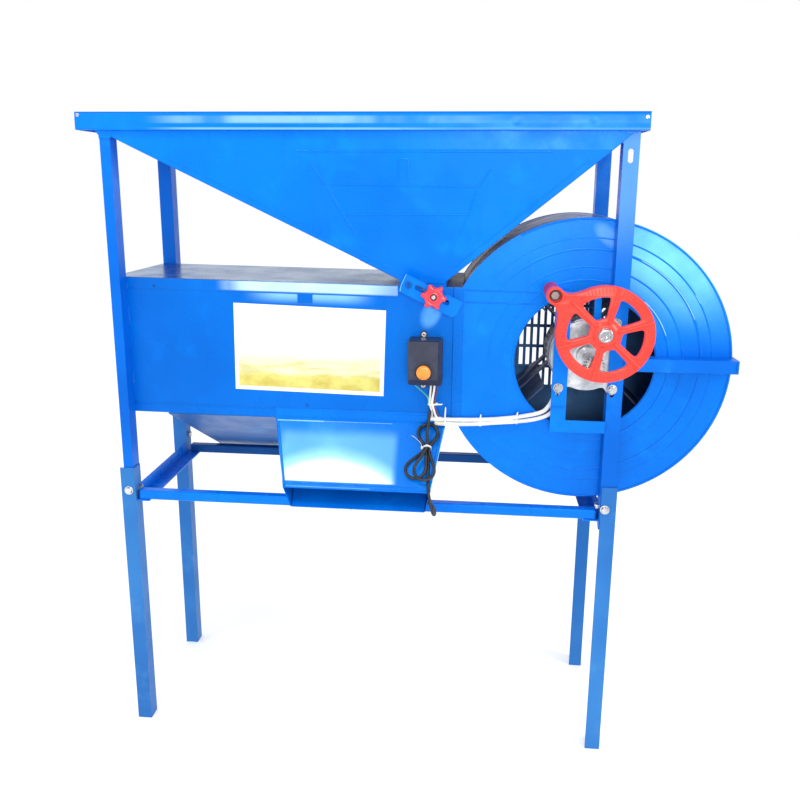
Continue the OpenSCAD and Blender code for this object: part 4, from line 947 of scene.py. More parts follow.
# end of the axle, with its ring and centre mark
piece("axle_head", *lathe([(0, -112.6), (1.4, -112.7), (2.6, -113.4), (3.2, -113.4), (3.6, -112.9), (7.4, -112.95), (7.9, -113.6), (9.6, -113.9), (11.2, -113.6), (12.2, -112.9), (12.5, -112.0), (12.5, -110.2), (12.2, -110), (7.9, -110), (0, -110)], (CX, 0, CZ), 64), shiny, "frame", True, replaces="crank_axle")
piece("axle_rod_and_collar", *lathe([(0, -110.2), (8, -110.2), (8, -87.6), (11.4, -87.6), (12, -87.1), (12, -82.5), (11.4, -82), (8, -82), (8, -0.6), (7.4, 0), (0, 0)], (CX, 0, CZ), 64), zinc, "frame", True)


# ---------------------------------------------------------------- star knob
SL = 25.7


def gate_pt(x, y, n):
    """A point by its place along the gate, depth and height over the gate line."""
    return (51 + x * COS(SL) + n * SIN(SL), y, 957.5 - x * SIN(SL) + n * COS(SL))


KX, _, KZ = gate_pt(0, 0, 4.5)


def knob_sdf(x, z):
    dx, dz = x - KX, z - KZ
    a = (math.degrees(math.atan2(dz, dx)) + SL - 15.7) % 60
    a = math.radians(min(a, 60 - a))
    r = math.hypot(dx, dz)
    u, v = r * math.cos(a), r * math.sin(a)
    t = max(0, min(1, (u - 12) / 7.9))
    return smin(r - 17.6, math.hypot(u - 12 - 7.9 * t, v) - (9.4 - 4.8 * t), 2.5)


sheet_shape("star_knob_head", [outline(KX, KZ, knob_sdf, 27, 420), ring_pts(KX, KZ, 6.1, 48)], -19.6, -4.0, 3.0, knob_mat, "knob", replaces="star_knob")
piece("star_knob_collar", *lathe(loop([(6.1, -14), (6.1, -20.4), (7.0, -21.2), (9.6, -21.2), (10.6, -20.6), (11.0, -19.5), (12.0, -19.2), (13.2, -19.9), (14.6, -20.3), (16.2, -19.9), (17.2, -18.8), (16.6, -16), (9, -4.2), (9, -2.3), (4.05, -2.3), (4.05, -14)]), (KX, 0, KZ), 84), knob_mat, "knob", True)
# dark socket: painted shade
piece("star_knob_socket", *lathe([(4.1, -14.05), (6.05, -14.05), (6.05, -18.8)], (KX, 0, KZ), 48), dark_hole, "knob", True)


# ---------------------------------------------------------------- motor
def end_bell():
    """Front of the motor: stepped bell with twelve vent slots round it, and the can with its bands behind."""
    prof = [(8.1, -4), (17, -4), (19.2, -3.2), (20, -1.5), (20, 2.2), (22, 3.0), (26, 3.1), (29, 1.8), (31, 1.3), (33, 1.3), (35, 1.6), (37, 1.9), (39, 2.2), (41, 2.5), (43, 2.8), (45, 3.1), (47, 3.4), (49, 3.8),
            (51, 4.2), (53, 4.6), (55, 5.0), (58, 5.8), (62, 7.2), (66, 8.8), (69, 10.6), (70.6, 12.5), (71, 14.5), (71, 29), (71.9, 30), (72.2, 31.6), (71.9, 33.2), (71, 34), (71, 92), (72, 93), (72.2, 95), (71.4, 97),
            (70, 101), (66, 106), (60, 109.5), (50, 112), (8.1, 112)]
    seg = 144
    V, F, idx = [], [], []
    for i in range(seg):
        a = 2 * math.pi * i / seg
        ph = (i % 12)
        for r, h in prof:
            hh = h
            if 36.5 < r < 56 and 3 <= ph <= 8:
                hh = h + 4.5
            V.append(P(345 + r * math.cos(a), hh, 853 + r * math.sin(a)))
    k = len(prof)
    for i in range(seg):
        j = (i + 1) % seg
        for q in range(k - 1):
            F.append((i * k + q, i * k + q + 1, j * k + q + 1, j * k + q))
            inner = 36.5 < prof[q][0] < 56 and 36.5 < prof[q + 1][0] < 56 and 3 <= i % 12 <= 8 and 3 <= j % 12 <= 8
            idx.append(1 if inner else 0)
    return V, F, idx


v, f, ix = end_bell()
# vent slots are sunk faces in near black: painted shade
piece("motor_shell", v, f, [cast, dark_hole], "frame", True, ix, "motor_body")


def flange_sdf(x, z):
    dx, dz = abs(x - 345), abs(z - 853)
    ear = smin(capsule(dx, dz, 30, 30 * 64 / 51, 51, 64, 11), math.hypot(dx - 51, dz - 64) - 12.5, 3)
    return smin(math.hypot(dx, dz) - 68.5, ear, 9)


sheet_shape("motor_flange", [outline(345, 853, flange_sdf, 98, 360, 30)] + [ring_pts(345 + i * 51, 853 + j * 64, 4.3, 32) for i in (-1, 1) for j in (-1, 1)], 3.2, 9.0, 1.2, cast)
# through bolts of the bells and cooling ribs on the can
bits = []
for k in range(4):
    a = 45 + 90 * k
    x, z = 345 + 61 * COS(a + 12), 853 + 61 * SIN(a + 12)
    bits.append(lathe([(0, 1.6), (3.2, 1.6), (4.2, 2.4), (4.4, 3.4), (4.4, 7.5)], (x, 0, z), 6))
piece("motor_through_bolts", *join(bits), zinc)
bits = []
for k in range(36):
    a = math.radians(10 * k + 5)
    n = Vector((math.cos(a), 0, math.sin(a)))
    pts = [P(345 + 71 * n.x, y, 853 + 71 * n.z) for y in (36.5, 38, 88, 89.5)]
    bits.append(swept(pts, [(-1.0, -0.6), (-0.9, 1.0), (-0.4, 1.7), (0.4, 1.7), (0.9, 1.0), (1.0, -0.6)], n))
piece("motor_cooling_ribs", *join(bits), cast, smooth=True)


# ---------------------------------------------------------------- leads and wires
A = [(50, 22, 712), (80, 23.5, 711), (146, 23.5, 713), (217, 23.5, 720), (262, 23.5, 731), (281, 26, 745), (291, 32, 765), (295.5, 37.5, 785), (297.3, 39.4, 795.5)]
B = [(62, 21, 703.2), (90, 23.5, 702.2), (146, 23.5, 704.2), (217, 23.5, 711.2), (269, 23.5, 722.2), (290, 26, 735.5), (300, 32, 755), (305.5, 37.5, 775), (308.2, 39.6, 787.5)]


def wavy(pts, amp, seed):
    """The line with slight waves, as a lead that has been unrolled keeps them."""
    line = curve_through([P(*q) for q in pts], 10)
    out = []
    for i, p in enumerate(line):
        t = i / (len(line) - 1)
        fade = min(1, 6 * t, 6 * (1 - t))
        out.append(p + Vector((0, 0.4 * math.sin(13 * t + seed), math.sin(19 * t + seed) + 0.5 * math.sin(31 * t + 2 * seed))) * (amp * fade / 1000))
    return out


piece("motor_lead_upper", *tube(wavy(A, 0.5, 0.4), 4.15, 18), white_mat, smooth=True, replaces="motor_lead")
piece("motor_lead_lower", *tube(wavy(B, 0.5, 2.1), 4.15, 18), white_mat, smooth=True)
# taped starts of the two jackets
piece("lead_sleeve_upper", *tube(curve_through([P(46, 22.4, 713.4), P(50, 22, 712), P(60, 22.4, 711.6), P(70, 23, 711.2)], 6), 4.9, 18, True, lambda t: 3.4 + 1.5 * min(1, 5 * t, 5.5 * (1 - t) + 0.55)), white_mat, smooth=True)
piece("lead_sleeve_lower", *tube(curve_through([P(57, 21.4, 705.4), P(62, 21, 703.4), P(70, 21.8, 702.8), P(78, 22.6, 702.5)], 6), 4.9, 18, True, lambda t: 3.2 + 1.5 * min(1, 5 * t, 5.5 * (1 - t) + 0.6)), beige_mat, smooth=True)
# rubber glands where the leads go into the motor
for nm, p, q in (("motor_gland_upper", (294.8, 36.9, 781), (298.2, 40.2, 799)), ("motor_gland_lower", (304.8, 37.0, 772), (309.1, 40.2, 791))):
    a, b = P(*p), P(*q)
    piece(nm, *tube([a, a.lerp(b, 0.15), a.lerp(b, 0.5), a.lerp(b, 0.72), a.lerp(b, 0.75), b], 6, 24, True, lambda t: 4.6 + 1.6 * t if t < 0.7 else 7.2), black_mat, smooth=True)

WIRES = [
    ("wire_cream", white_mat, 2.3, [(56, 10, 788), (56, 10, 781), (54.6, 9.6, 768), (52.6, 9.2, 756), (52.4, 9.6, 745), (55.5, 13, 733), (58, 17.5, 722), (62, 20.6, 714)], "switch_wires"),
    ("wire_white", beige_mat, 2.1, [(49, 9, 788), (49, 9, 781), (48.2, 8.8, 768), (47.6, 9.2, 756), (47.9, 10, 745), (50.5, 13.5, 733), (51.5, 18, 722), (51.5, 21.6, 714)], None),
    ("wire_brown", brown_mat, 1.6, [(62, 14, 788), (62, 14, 781), (60, 13.6, 768), (57.4, 13.2, 756), (57.2, 13.6, 745), (58.6, 17.2, 734), (62.5, 21.2, 723), (66, 23.4, 714)], None),
    ("wire_green", green_mat, 1.3, [(16, 18, 788), (16, 18.4, 783), (22, 17, 777), (33, 13, 769), (42.5, 8, 761), (45, 8.6, 753), (45.6, 12, 745), (53.5, 22.5, 732), (57, 24.5, 722), (57.5, 24, 714)], None),
]
for name, mt, r, pts, rep in WIRES:
    piece(name, *tube(curve_through([P(*q) for q in pts], 8), r, 12), mt, smooth=True, replaces=rep)


# ---------------------------------------------------------------- cable ties
def tie_round(points, width_dir, w, th=1.1, tail=None, head_at=0.0):
    """Band of nylon round a bundle: rounded loop through the points; its head block and tail are drawn apart."""
    n = len(points)
    line = []
    for i in range(n):
        p0, p1, p2, p3 = (points[(i + k - 1) % n] for k in range(4))
        for k in range(6):
            u = k / 6
            line.append(0.5 * (2 * p1 + (p2 - p0) * u + (2 * p0 - 5 * p1 + 4 * p2 - p3) * u * u + (3 * p1 - p0 - 3 * p2 + p3) * u ** 3))
    m = len(line)
    wd = Vector(width_dir).normalized()
    centre = sum(points, Vector()) / n
    V, F = [], []
    for i, p in enumerate(line):
        t = (line[(i + 1) % m] - line[i - 1]).normalized()
        out = t.cross(wd).normalized()
        if out.dot(p - centre) < 0:
            out = -out
        for u, h in ((-w / 2, 0), (-w / 2 + 0.4, th), (w / 2 - 0.4, th), (w / 2, 0)):
            V.append(p + wd * (u / 1000) + out * (h / 1000))
    for i in range(m):
        j = (i + 1) % m
        for k in range(4):
            F.append((i * 4 + k, i * 4 + (k + 1) % 4, j * 4 + (k + 1) % 4, j * 4 + k))
    return V, F


def block(centre, ax, ay, az, size, bev=0.5):
    """Small block with softened edges on its own axes."""
    ax, ay, az = (Vector(a).normalized() for a in (ax, ay, az))
    sx, sy, sz = (s / 2 for s in size)
    V, F = [], []
    prof = [(-sz, sx - bev, sy - bev), (-sz + bev, sx, sy), (sz - bev, sx, sy), (sz, sx - bev, sy - bev)]
    for h, a, b in prof:
        for x, y in ((a, b - bev), (a - bev, b), (-a + bev, b), (-a, b - bev), (-a, -b + bev), (-a + bev, -b), (a - bev, -b), (a, -b + bev)):
            V.append(centre + (ax * x + ay * y + az * h) / 1000)
    for i in range(3):
        for k in range(8):
            F.append((i * 8 + k, i * 8 + (k + 1) % 8, i * 8 + 8 + (k + 1) % 8, i * 8 + 8 + k))
    F.append(tuple(range(7, -1, -1)))
    F.append(tuple(24 + k for k in range(8)))
    return V, F


def strap(pts, w, th, wd):
    """Loose tail of a tie along points, w wide in the direction wd."""
    line = curve_through([P(*q) for q in pts], 6)
    wd = Vector(wd).normalized()
    V, F = [], []
    m = len(line)
    for i, p in enumerate(line):
        t = (line[min(i + 1, m - 1)] - line[max(i - 1, 0)]).normalized()
        out = t.cross(wd).normalized()
        ww = w / 2 * (1 if i < m - 3 else 0.55)
        for u, h in ((-ww, -th / 2), (-ww, th / 2), (ww, th / 2), (ww, -th / 2)):
            V.append(p + wd * (u / 1000) + out * (h / 1000))
    for i in range(m - 1):
        for k in range(4):
            F.append((i * 4 + k, i * 4 + (k + 1) % 4, i * 4 + 4 + (k + 1) % 4, i * 4 + 4 + k))
    F += [(0, 1, 2, 3), tuple((m - 1) * 4 + k for k in (3, 2, 1, 0))]
    return V, F


bits = []
for x, za, zb, yc in ((78, 711.1, 702.5, 23.1), (148, 713.1, 704.3, 23.5), (219, 720.3, 711.5, 23.5)):
    loop_pts = [P(x, yc + 4.3 * COS(a), (za if s > 0 else zb) + 4.3 * SIN(a)) for s, a in ((1, 0), (1, 50), (1, 90), (1, 130), (1, 180), (-1, 180), (-1, 230), (-1, 270), (-1, 310), (-1, 0))]
    bits.append(tie_round(loop_pts, (1, 0, 0), 3.8))
    bits.append(block(P(x, yc - 5.2, za + 3.4), (1, 0, 0), (0, 1, 0), (0, 0, 1), (5.4, 4.2, 5.0), 0.7))
bits.append(strap([(78, 17.9, 716), (77.9, 17.9, 722), (78.3, 18.6, 730), (78.6, 19.2, 738)], 2.6, 1.0, (1, 0, 0.05)))
bits.append(strap([(148, 18.3, 718), (148.2, 17.4, 722), (148.6, 16.4, 726)], 2.6, 1.0, (1, 0, 0)))
bits.append(strap([(219, 18.3, 725), (219.6, 17.6, 729.5), (220.6, 17.2, 733)], 2.6, 1.0, (1, 0, 0)))
# round the wires and the cord below the switch
loop_pts = [P(x, y, 745) for x, y in ((44.4, 13.4), (45.0, 9.6), (47.6, 7.4), (51.6, 6.7), (55.2, 7.6), (58.4, 10.6), (59.4, 14.6), (58.6, 18.2), (55.0, 20.4), (50.4, 20.6), (46.4, 18.0))]
bits.append(tie_round(loop_pts, (0, 0, 1), 3.6))
bits.append(block(P(60.6, 13.6, 745), (1, 0, 0), (0, 1, 0), (0, 0, 1), (4.2, 5.4, 5.4), 0.7))
bits.append(strap([(61.5, 12.8, 745), (65, 11.8, 744.8), (69, 11.0, 745.0), (73, 10.6, 745.8)], 2.6, 1.0, (0, 0.1, 1)))
piece("lead_ties", *join(bits), tie_mat, smooth=True, replaces="cable_ties")
# round the hank and round the plug on the rail
HA = math.atan(105 / 104.1)
HC, HS = math.cos(HA), math.sin(HA)


def hood(x, s, n):
    """A point by its distance s down the chute's cover and n off it."""
    return P(x, 29.1 - s * HC - n * HS, 698 - s * HS + n * HC)


hn = Vector((0, -HS, HC))
hd = Vector((0, -HC, -HS))
loop_pts = [hood(45 + u, 57, n) for u, n in ((-10.2, 1.2), (-10.0, 4.4), (-7.4, 8.2), (-7.2, 11.4), (-4.4, 16.2), (0, 19.4), (4.6, 16.6), (7.4, 12.0), (7.4, 5), (6.4, 1.0), (0, 0.25), (-8, 0.3))]
bits = [tie_round(loop_pts, hd, 3.8), block(hood(45 - 10.2, 57, 8.6), (1, 0, 0), hd, hn, (4.2, 5.4, 5.2), 0.7)]
tail = [(45 - 10.6, 55, 11), (45 - 13, 48, 9.5), (45 - 19, 40, 6.5), (45 - 26, 33, 4.0), (45 - 33, 28, 2.2)]
line = [hood(*q) for q in tail]
line = [(p * 1000 - Vector((OX, OY, 0))) for p in line]
bits.append(strap([tuple(q) for q in line], 2.4, 0.9, (0.5, -0.6, -0.6)))
piece("hank_tie", *join(bits), tie_mat, smooth=True)
loop_pts = [P(-110, y, z) for y, z in ((2.2, 519.2), (0.9, 521), (0.9, 539), (2.8, 550), (5.5, 555.6), (12, 556.3), (18.5, 555.6), (21.2, 550), (23.1, 539), (23.1, 521), (21.8, 519.2), (12, 519.0))]
piece("plug_tie", *join([tie_round(loop_pts, (1, 0, 0), 3.8), block(P(-110, 0.2, 546), (1, 0, 0), (0, 1, 0), (0, 0, 1), (5.4, 3.6, 5.2), 0.7)]), tie_mat, smooth=True)


# ---------------------------------------------------------------- pressed lines, folds and seams of the sheet metal
FA = math.atan(30 / 250)


def front(x, z, out=0.0):
    """A point on the outside of the hopper's front plate, which leans in below its fold at z = 1232."""
    y = -1.2 if z >= 1232 else (1232 - z) * math.tan(FA) - 1.2 / math.cos(FA)
    return P(x, y - out, z)


lean_n = (0, -math.cos(FA), -math.sin(FA))
lines = []
for pts in [
    [(-207, 1227.5), (262, 1227.5)],
    [(-182, 1208), (-156, 1168), (132, 1165), (152, 1196)],
    [(-122, 1111), (114, 1114)],
    [(-16, 1173), (-16, 1214), (1, 1214), (1, 1173)],
    [(-150, 1160), (-122, 1111), (-98, 1072)],
    [(128, 1158), (114, 1114), (98, 1078)],
]:
    lines.append(swept([front(*q) for q in pts], round_ridge(3.6, 0.8), lean_n))
# stiffening folds beside both slopes
zl = lambda x: 990.2 + (-17 - x) * TAN(25.7)
zr = lambda x: 987 + (x - 74) * TAN(39.7)
for f, xs in ((zl, (-500, -30)), (zr, (88, 352))):
    k = 13 if f is zl else 15
    pts = [front(x, min(1229, f(x) + k)) for x in [xs[0] + (xs[1] - xs[0]) * i / 12 for i in range(13)] if f(x) + k < 1229]
    lines.append(swept(pts, round_ridge(2.6, 0.55), lean_n))
piece("hopper_front_pressings", *join(lines), blue, smooth=True)


def rim_skin():
    """Front face of the folded rim: rounded over at the top, a soft crease along its middle, and the small dents of daily use."""
    x0, x1, z0, z1 = -627.0, 430.0, 1264.0, 1297.0
    nx, nz = 300, 22
    dents = [(-573, 1279, 5, 0.9), (-421, 1281, 7, 1.3), (-277, 1281, 8, 1.4), (-113, 1278, 8, 1.4), (48, 1281, 6, 0.8), (196, 1280, 7, 1.0), (331, 1282, 5, 0.8)]
    V, F = [], []
    for i in range(nx + 1):
        x = x0 + (x1 - x0) * i / nx
        for j in range(nz + 1):
            z = z0 + (z1 - z0) * j / nz
            top = max(0.0, (z - 1291) / 6)
            low = max(0.0, (1268 - z) / 4)
            out = 1.7 - 1.5 * top ** 2.2 - 0.9 * low ** 2
            # upper half tips back, so that it catches the light
            out -= 0.5 * max(0.0, min(1.0, (z - 1281) / 9))
            out += 0.22 * math.sin(x / 61.0) * math.sin(x / 23.0 + 1.3) + 0.12 * math.sin(x / 11.0 + z / 9)
            for dx, dz, r, d in dents:
                q = ((x - dx) / r) ** 2 + ((z - dz) / (r * 0.8)) ** 2
                out -= d * math.exp(-q)
                # pulled edge beside the dent
                out += 0.3 * d * math.exp(-(((x - dx) / (3.2 * r)) ** 2 + ((z - dz - 3) / (1.3 * r)) ** 2))
            V.append(P(x, -8 - max(0.08, out), z))
    for i in range(nx):
        for j in range(nz):
            a = i * (nz + 1) + j
            F.append((a, a + 1, a + nz + 2, a + nz + 1))
    # back edge all round, so that the skin has no open gap to the rim behind it
    rimline = [i * (nz + 1) for i in range(nx + 1)] + [nx * (nz + 1) + j for j in range(1, nz + 1)] + [i * (nz + 1) + nz for i in range(nx - 1, -1, -1)] + [j for j in range(nz - 1, 0, -1)]
    k = len(V)
    for a in rimline:
        p = V[a].copy()
        p.y = (-8 + 0.3 + OY) / 1000
        V.append(p)
    m = len(rimline)
    for i in range(m):
        j = (i + 1) % m
        F.append((rimline[i], rimline[j], k + j, k + i))
    return V, F


piece("hopper_rim_skin", *rim_skin(), blue_rim, smooth=True)
sheet_shape("hopper_leg_gusset", [[(-592.5, 1264.8), (-592.5, 1263.6), (-586.4, 1254.5), (-586.4, 1249), (-566, 1249), (-562, 1252.4), (-556, 1264.8)]], -2.0, 0.2, 0.4, blue)

# duct front: folded top band, bottom band, joint strip, seam with its lap, and the lap lines at the housing
ztop = lambda x: 981 - 0.0125 * (x + 400)
zbot = lambda x: 704 - 0.0090 * (x + 550)
Y = 30.0
fwd = (0, -1, 0)
parts = []


def band(x0, x1, zc, w, n=24):
    return [P(x0 + (x1 - x0) * i / n, Y, zc(x0 + (x1 - x0) * i / n)) for i in range(n + 1)]


# the top band leans back a little and ends in a small return at its lower edge
top_line = lambda x: (ztop(x) + 960 - 0.0169 * (x + 559)) / 2
w = 22.0
parts.append(swept(band(-591, -19, top_line, w), [(w / 2 + 0.6, -0.2), (w / 2 + 0.6, 1.2), (w / 2 - 0.6, 2.3), (w / 2 - 2.5, 2.5), (w / 2 - 6, 2.2), (0, 1.5), (-w / 2 + 3, 0.8), (-w / 2 + 0.5, 0.3), (-w / 2 + 0.2, -0.2)], fwd))
parts.append(swept(band(-560, 88, lambda x: 723 - 0.0060 * (x + 559), 0), round_ridge(3.2, 0.9), fwd))
parts.append(swept([P(-203, Y, 959), P(-203, Y, 938.5)], flat_strip(30, 1.6, 0.8), fwd))
parts.append(swept([P(99, Y, zbot(99) + 3), P(99, Y, ztop(99) - 3)], flat_strip(20, 1.4, 0.7), fwd))
parts.append(swept([P(90.9, Y, zbot(91) + 1), P(90.9, Y, ztop(91) - 1)], round_ridge(3.0, 2.0), fwd))
for zz, xa, xb in ((970, 112, 250), (947, 112, 244)):
    parts.append(swept([P(xa + (xb - xa) * i / 10, Y, zz - 0.0125 * (xa + (xb - xa) * i / 10 - 107)) for i in range(11)], round_ridge(2.8, 0.8), fwd))
piece("duct_front_folds", *join(parts), blue_band, smooth=True)

# pressed rings of the fan housing, front and rear


def ring_arc(r, w, h, a0, a1, y=30.0, height=None, n=None):
    """Pressed ring from a0 to a1 degrees, as high as height says at each angle."""
    n = n or int(abs(a1 - a0) / 2)
    pts, hs = [], []
    for i in range(n + 1):
        a = a0 + (a1 - a0) * i / n
        pts.append(P(344.5 + r * COS(a), y, 834 + r * SIN(a)))
        hs.append(height(a) if height else 1.0)
    V, F = swept(pts, round_ridge(w, h), fwd)
    k = len(round_ridge(w, h))
    for i in range(n + 1):
        for j in range(k):
            v = V[i * k + j]
            out = pts[i].y - v.y
            if out > 0:
                v.y = pts[i].y - out * hs[i]
    return V, F


def lively(a):
    """Rings stand out on the right and are almost flat on the left."""
    a = (a + 180) % 360 - 180
    return 0.07 + 0.93 * max(0.0, min(1.0, (92 - abs(a + 5)) / 45))


parts = [ring_arc(137.5, 4.5, 1.5, 0, 358), ring_arc(160, 4.6, 1.1, -170, 188, height=lively), ring_arc(185, 3.4, 0.6, -160, 178, height=lively),
         ring_arc(219, 5.0, 1.2, -150, 166, height=lively), ring_arc(240, 3, 0.5, -138, 138, height=lively), ring_arc(274.6, 3.6, 1.8, -118, 118)]
piece("housing_front_rings", *join(parts), blue, smooth=True)
crest = lambda a0, a1: (lambda a: max(0.05, min(1.0, (a - a0) / 9, (a1 - a) / 9)))
# pale strips on the crests of two rings at the upper right: painted highlights
arcs = [ring_arc(160.6, 2.2, 1.55, 14, 54, height=crest(14, 54), n=30), ring_arc(219.6, 2.0, 1.6, 17, 68, height=crest(17, 68), n=36), ring_arc(240.4, 1.2, 0.8, 24, 40, height=crest(24, 40), n=14)]
piece("housing_ring_painted_highlights", *join(arcs), blue_painted_highlight, smooth=True)
parts = []
for r, w, h in ((160, 5, 1.2), (185, 6, 1.5), (219, 6, 1.5)):
    parts.append(swept([P(344.5 + r * COS(a), 294, 834 + r * SIN(a)) for a in range(0, 360, 2)], round_ridge(w, h), (0, 1, 0), True))
parts.append(swept([P(344.5 + 274.6 * COS(a), 294, 834 + 274.6 * SIN(a)) for a in range(-118, 119, 2)], round_ridge(3.6, 1.8), (0, 1, 0)))
parts.append(swept([P(90.9, 294, zbot(91) + 1), P(90.9, 294, ztop(91) - 1)], round_ridge(3.0, 2.0), (0, 1, 0)))
parts.append(swept([P(99, 294, zbot(99) + 3), P(99, 294, ztop(99) - 3)], flat_strip(20, 1.4, 0.7), (0, 1, 0)))
for z in (962, 722):
    parts.append(swept([P(-585, 294, z), P(85, 294, z - 8)], round_ridge(3.2, 0.9), (0, 1, 0)))
piece("rear_side_rings_and_seams", *join(parts), blue, smooth=True)
# pressed cross on the rear of the hopper, and folds beside its slopes
parts = []
for pts in ([(-420, 1250), (300, 1250)], [(-182, 1208), (-156, 1168), (132, 1165), (152, 1196)], [(-122, 1111), (114, 1114)]):
    parts.append(swept([P(x, 294, z) for x, z in pts], round_ridge(3.6, 0.8), (0, 1, 0)))
for f, xs, k in ((zl, (-560, -30), 13), (zr, (88, 372), 15)):
    parts.append(swept([P(xs[0] + (xs[1] - xs[0]) * i / 8, 294, f(xs[0] + (xs[1] - xs[0]) * i / 8) + k) for i in range(9)], round_ridge(2.6, 0.6), (0, 1, 0)))
piece("hopper_rear_pressings", *join(parts), blue, smooth=True)


# chute cover: hems, flanged sides, and the lip rolled over
def lip_line(s, n, k=14):
    return [hood(-231 - 37 * (1 - s / 147.9) + (55 + 231 + 61 * (1 - s / 147.9)) * i / k, s, n) for i in range(k + 1)]


hn3 = (0, -HS, HC)
parts = [swept(lip_line(146.6, 0), [(-1.9, -0.8), (-2.1, 0.6), (-1.4, 1.7), (0, 2.1), (1.4, 1.7), (2.1, 0.6), (1.9, -0.8)], hn3),
         swept(lip_line(138.5, 0)[1:-1], round_ridge(2.4, 0.5), hn3),
         swept([hood(-262.5, 6, 0), hood(-229.0, 144, 0)], round_ridge(5.0, 1.6), hn3),
         swept([hood(73.5, 6, 0), hood(52.4, 144, 0)], round_ridge(5.0, 1.6), hn3),
         swept([P(-262, 28.8, 712), P(70, 28.8, 708)], flat_strip(15, 0.9, 0.5), fwd)]
piece("chute_cover_hems", *join(parts), blue, smooth=True)
# painted highlights along edges: upper fold, lip and right flange of the chute cover, and the edge of the gate bracket
def edge_line(pts, w, h, n):
    return swept(pts, [(-w / 2, -0.2), (-w / 2 * 0.7, h * 0.8), (0, h), (w / 2 * 0.7, h * 0.8), (w / 2, -0.2)], n)


pale = [edge_line([hood(-264 + 12 * i, 2.2, 0) for i in range(9)], 2.6, 1.0, hn3), edge_line([hood(-168 + 20 * i, 2.2, 0) for i in range(8)], 1.0, 0.6, hn3),
        edge_line([hood(76.5, 8, 0), hood(66.5, 75, 0), hood(55.4, 142, 0)], 1.5, 2.0, hn3),
        edge_line([hood(-226 + 15 * i, 145.4, 1.5) for i in range(12)], 1.3, 0.5, hn3)]
pa, pb, pc = gate_pt(-65.4, -2.2, 18.2), gate_pt(-65.4, -2.2, -4), gate_pt(-62, -2.2, -16)
pale.append(edge_line([P(*pa), P(*pb), P(*pc)], 1.3, 0.6, fwd))
piece("painted_highlight_edges", *join(pale), blue_painted_highlight, smooth=True)


# corner beads inside the chute, and the rolled bars of the grating
FL = [(292.8 - k * COS(21.8), 700.2 - k * math.sin(math.radians(21.8)), k) for k in (3, 60, 130, 200, 270, 340, 393)]
# corner beads in the darker enamel: painted shade along the inner corners
piece("chute_corner_beads", *join([tube(curve_through([P(-267.1 + 0.1293 * k, y, z) for y, z, k in FL], 4), 1.7, 8), tube(curve_through([P(77.9 - 0.0835 * k, y, z) for y, z, k in FL], 4), 1.7, 8)]), blue_painted_shade, smooth=True)
bars = []
for i in range(-9, 9):
    h = math.sqrt(136.5 ** 2 - (15 * i + 7.5) ** 2)
    bars.append(swept([P(344.5 + 15 * i + 7.5, 292.8, 834 - h), P(344.5 + 15 * i + 7.5, 292.8, 834 + h)], round_ridge(6.6, 1.5), fwd))
for j in range(-3, 3):
    h = math.sqrt(136.5 ** 2 - (47 * j + 23.5) ** 2)
    bars.append(swept([P(344.5 - h, 292.6, 834 + 47 * j + 23.5), P(344.5 + h, 292.6, 834 + 47 * j + 23.5)], round_ridge(7.4, 1.7), fwd))
piece("grating_bars", *join(bars), inside, smooth=True)


# ---------------------------------------------------------------- weld beads, painted over
def weld(a, b, r=1.8, pitch=2.6, seed=0.0, normal=None):
    a, b = P(*a), P(*b)
    L = (b - a).length * 1000
    n = max(6, int(L / pitch * 4))
    pts = []
    for i in range(n + 1):
        t = i / n
        p = a.lerp(b, t)
        p += Vector((0.25 * math.sin(9 * t * L / 20 + seed), 0, 0.3 * math.sin(5 * t * L / 20 + 2 * seed))) / 1000
        pts.append(p)
    return tube(pts, r, 10, True, lambda t: r * (0.45 + 0.55 * min(1, 8 * t, 8 * (1 - t))) * (1 + 0.16 * math.sin(2 * math.pi * t * L / pitch + seed)))


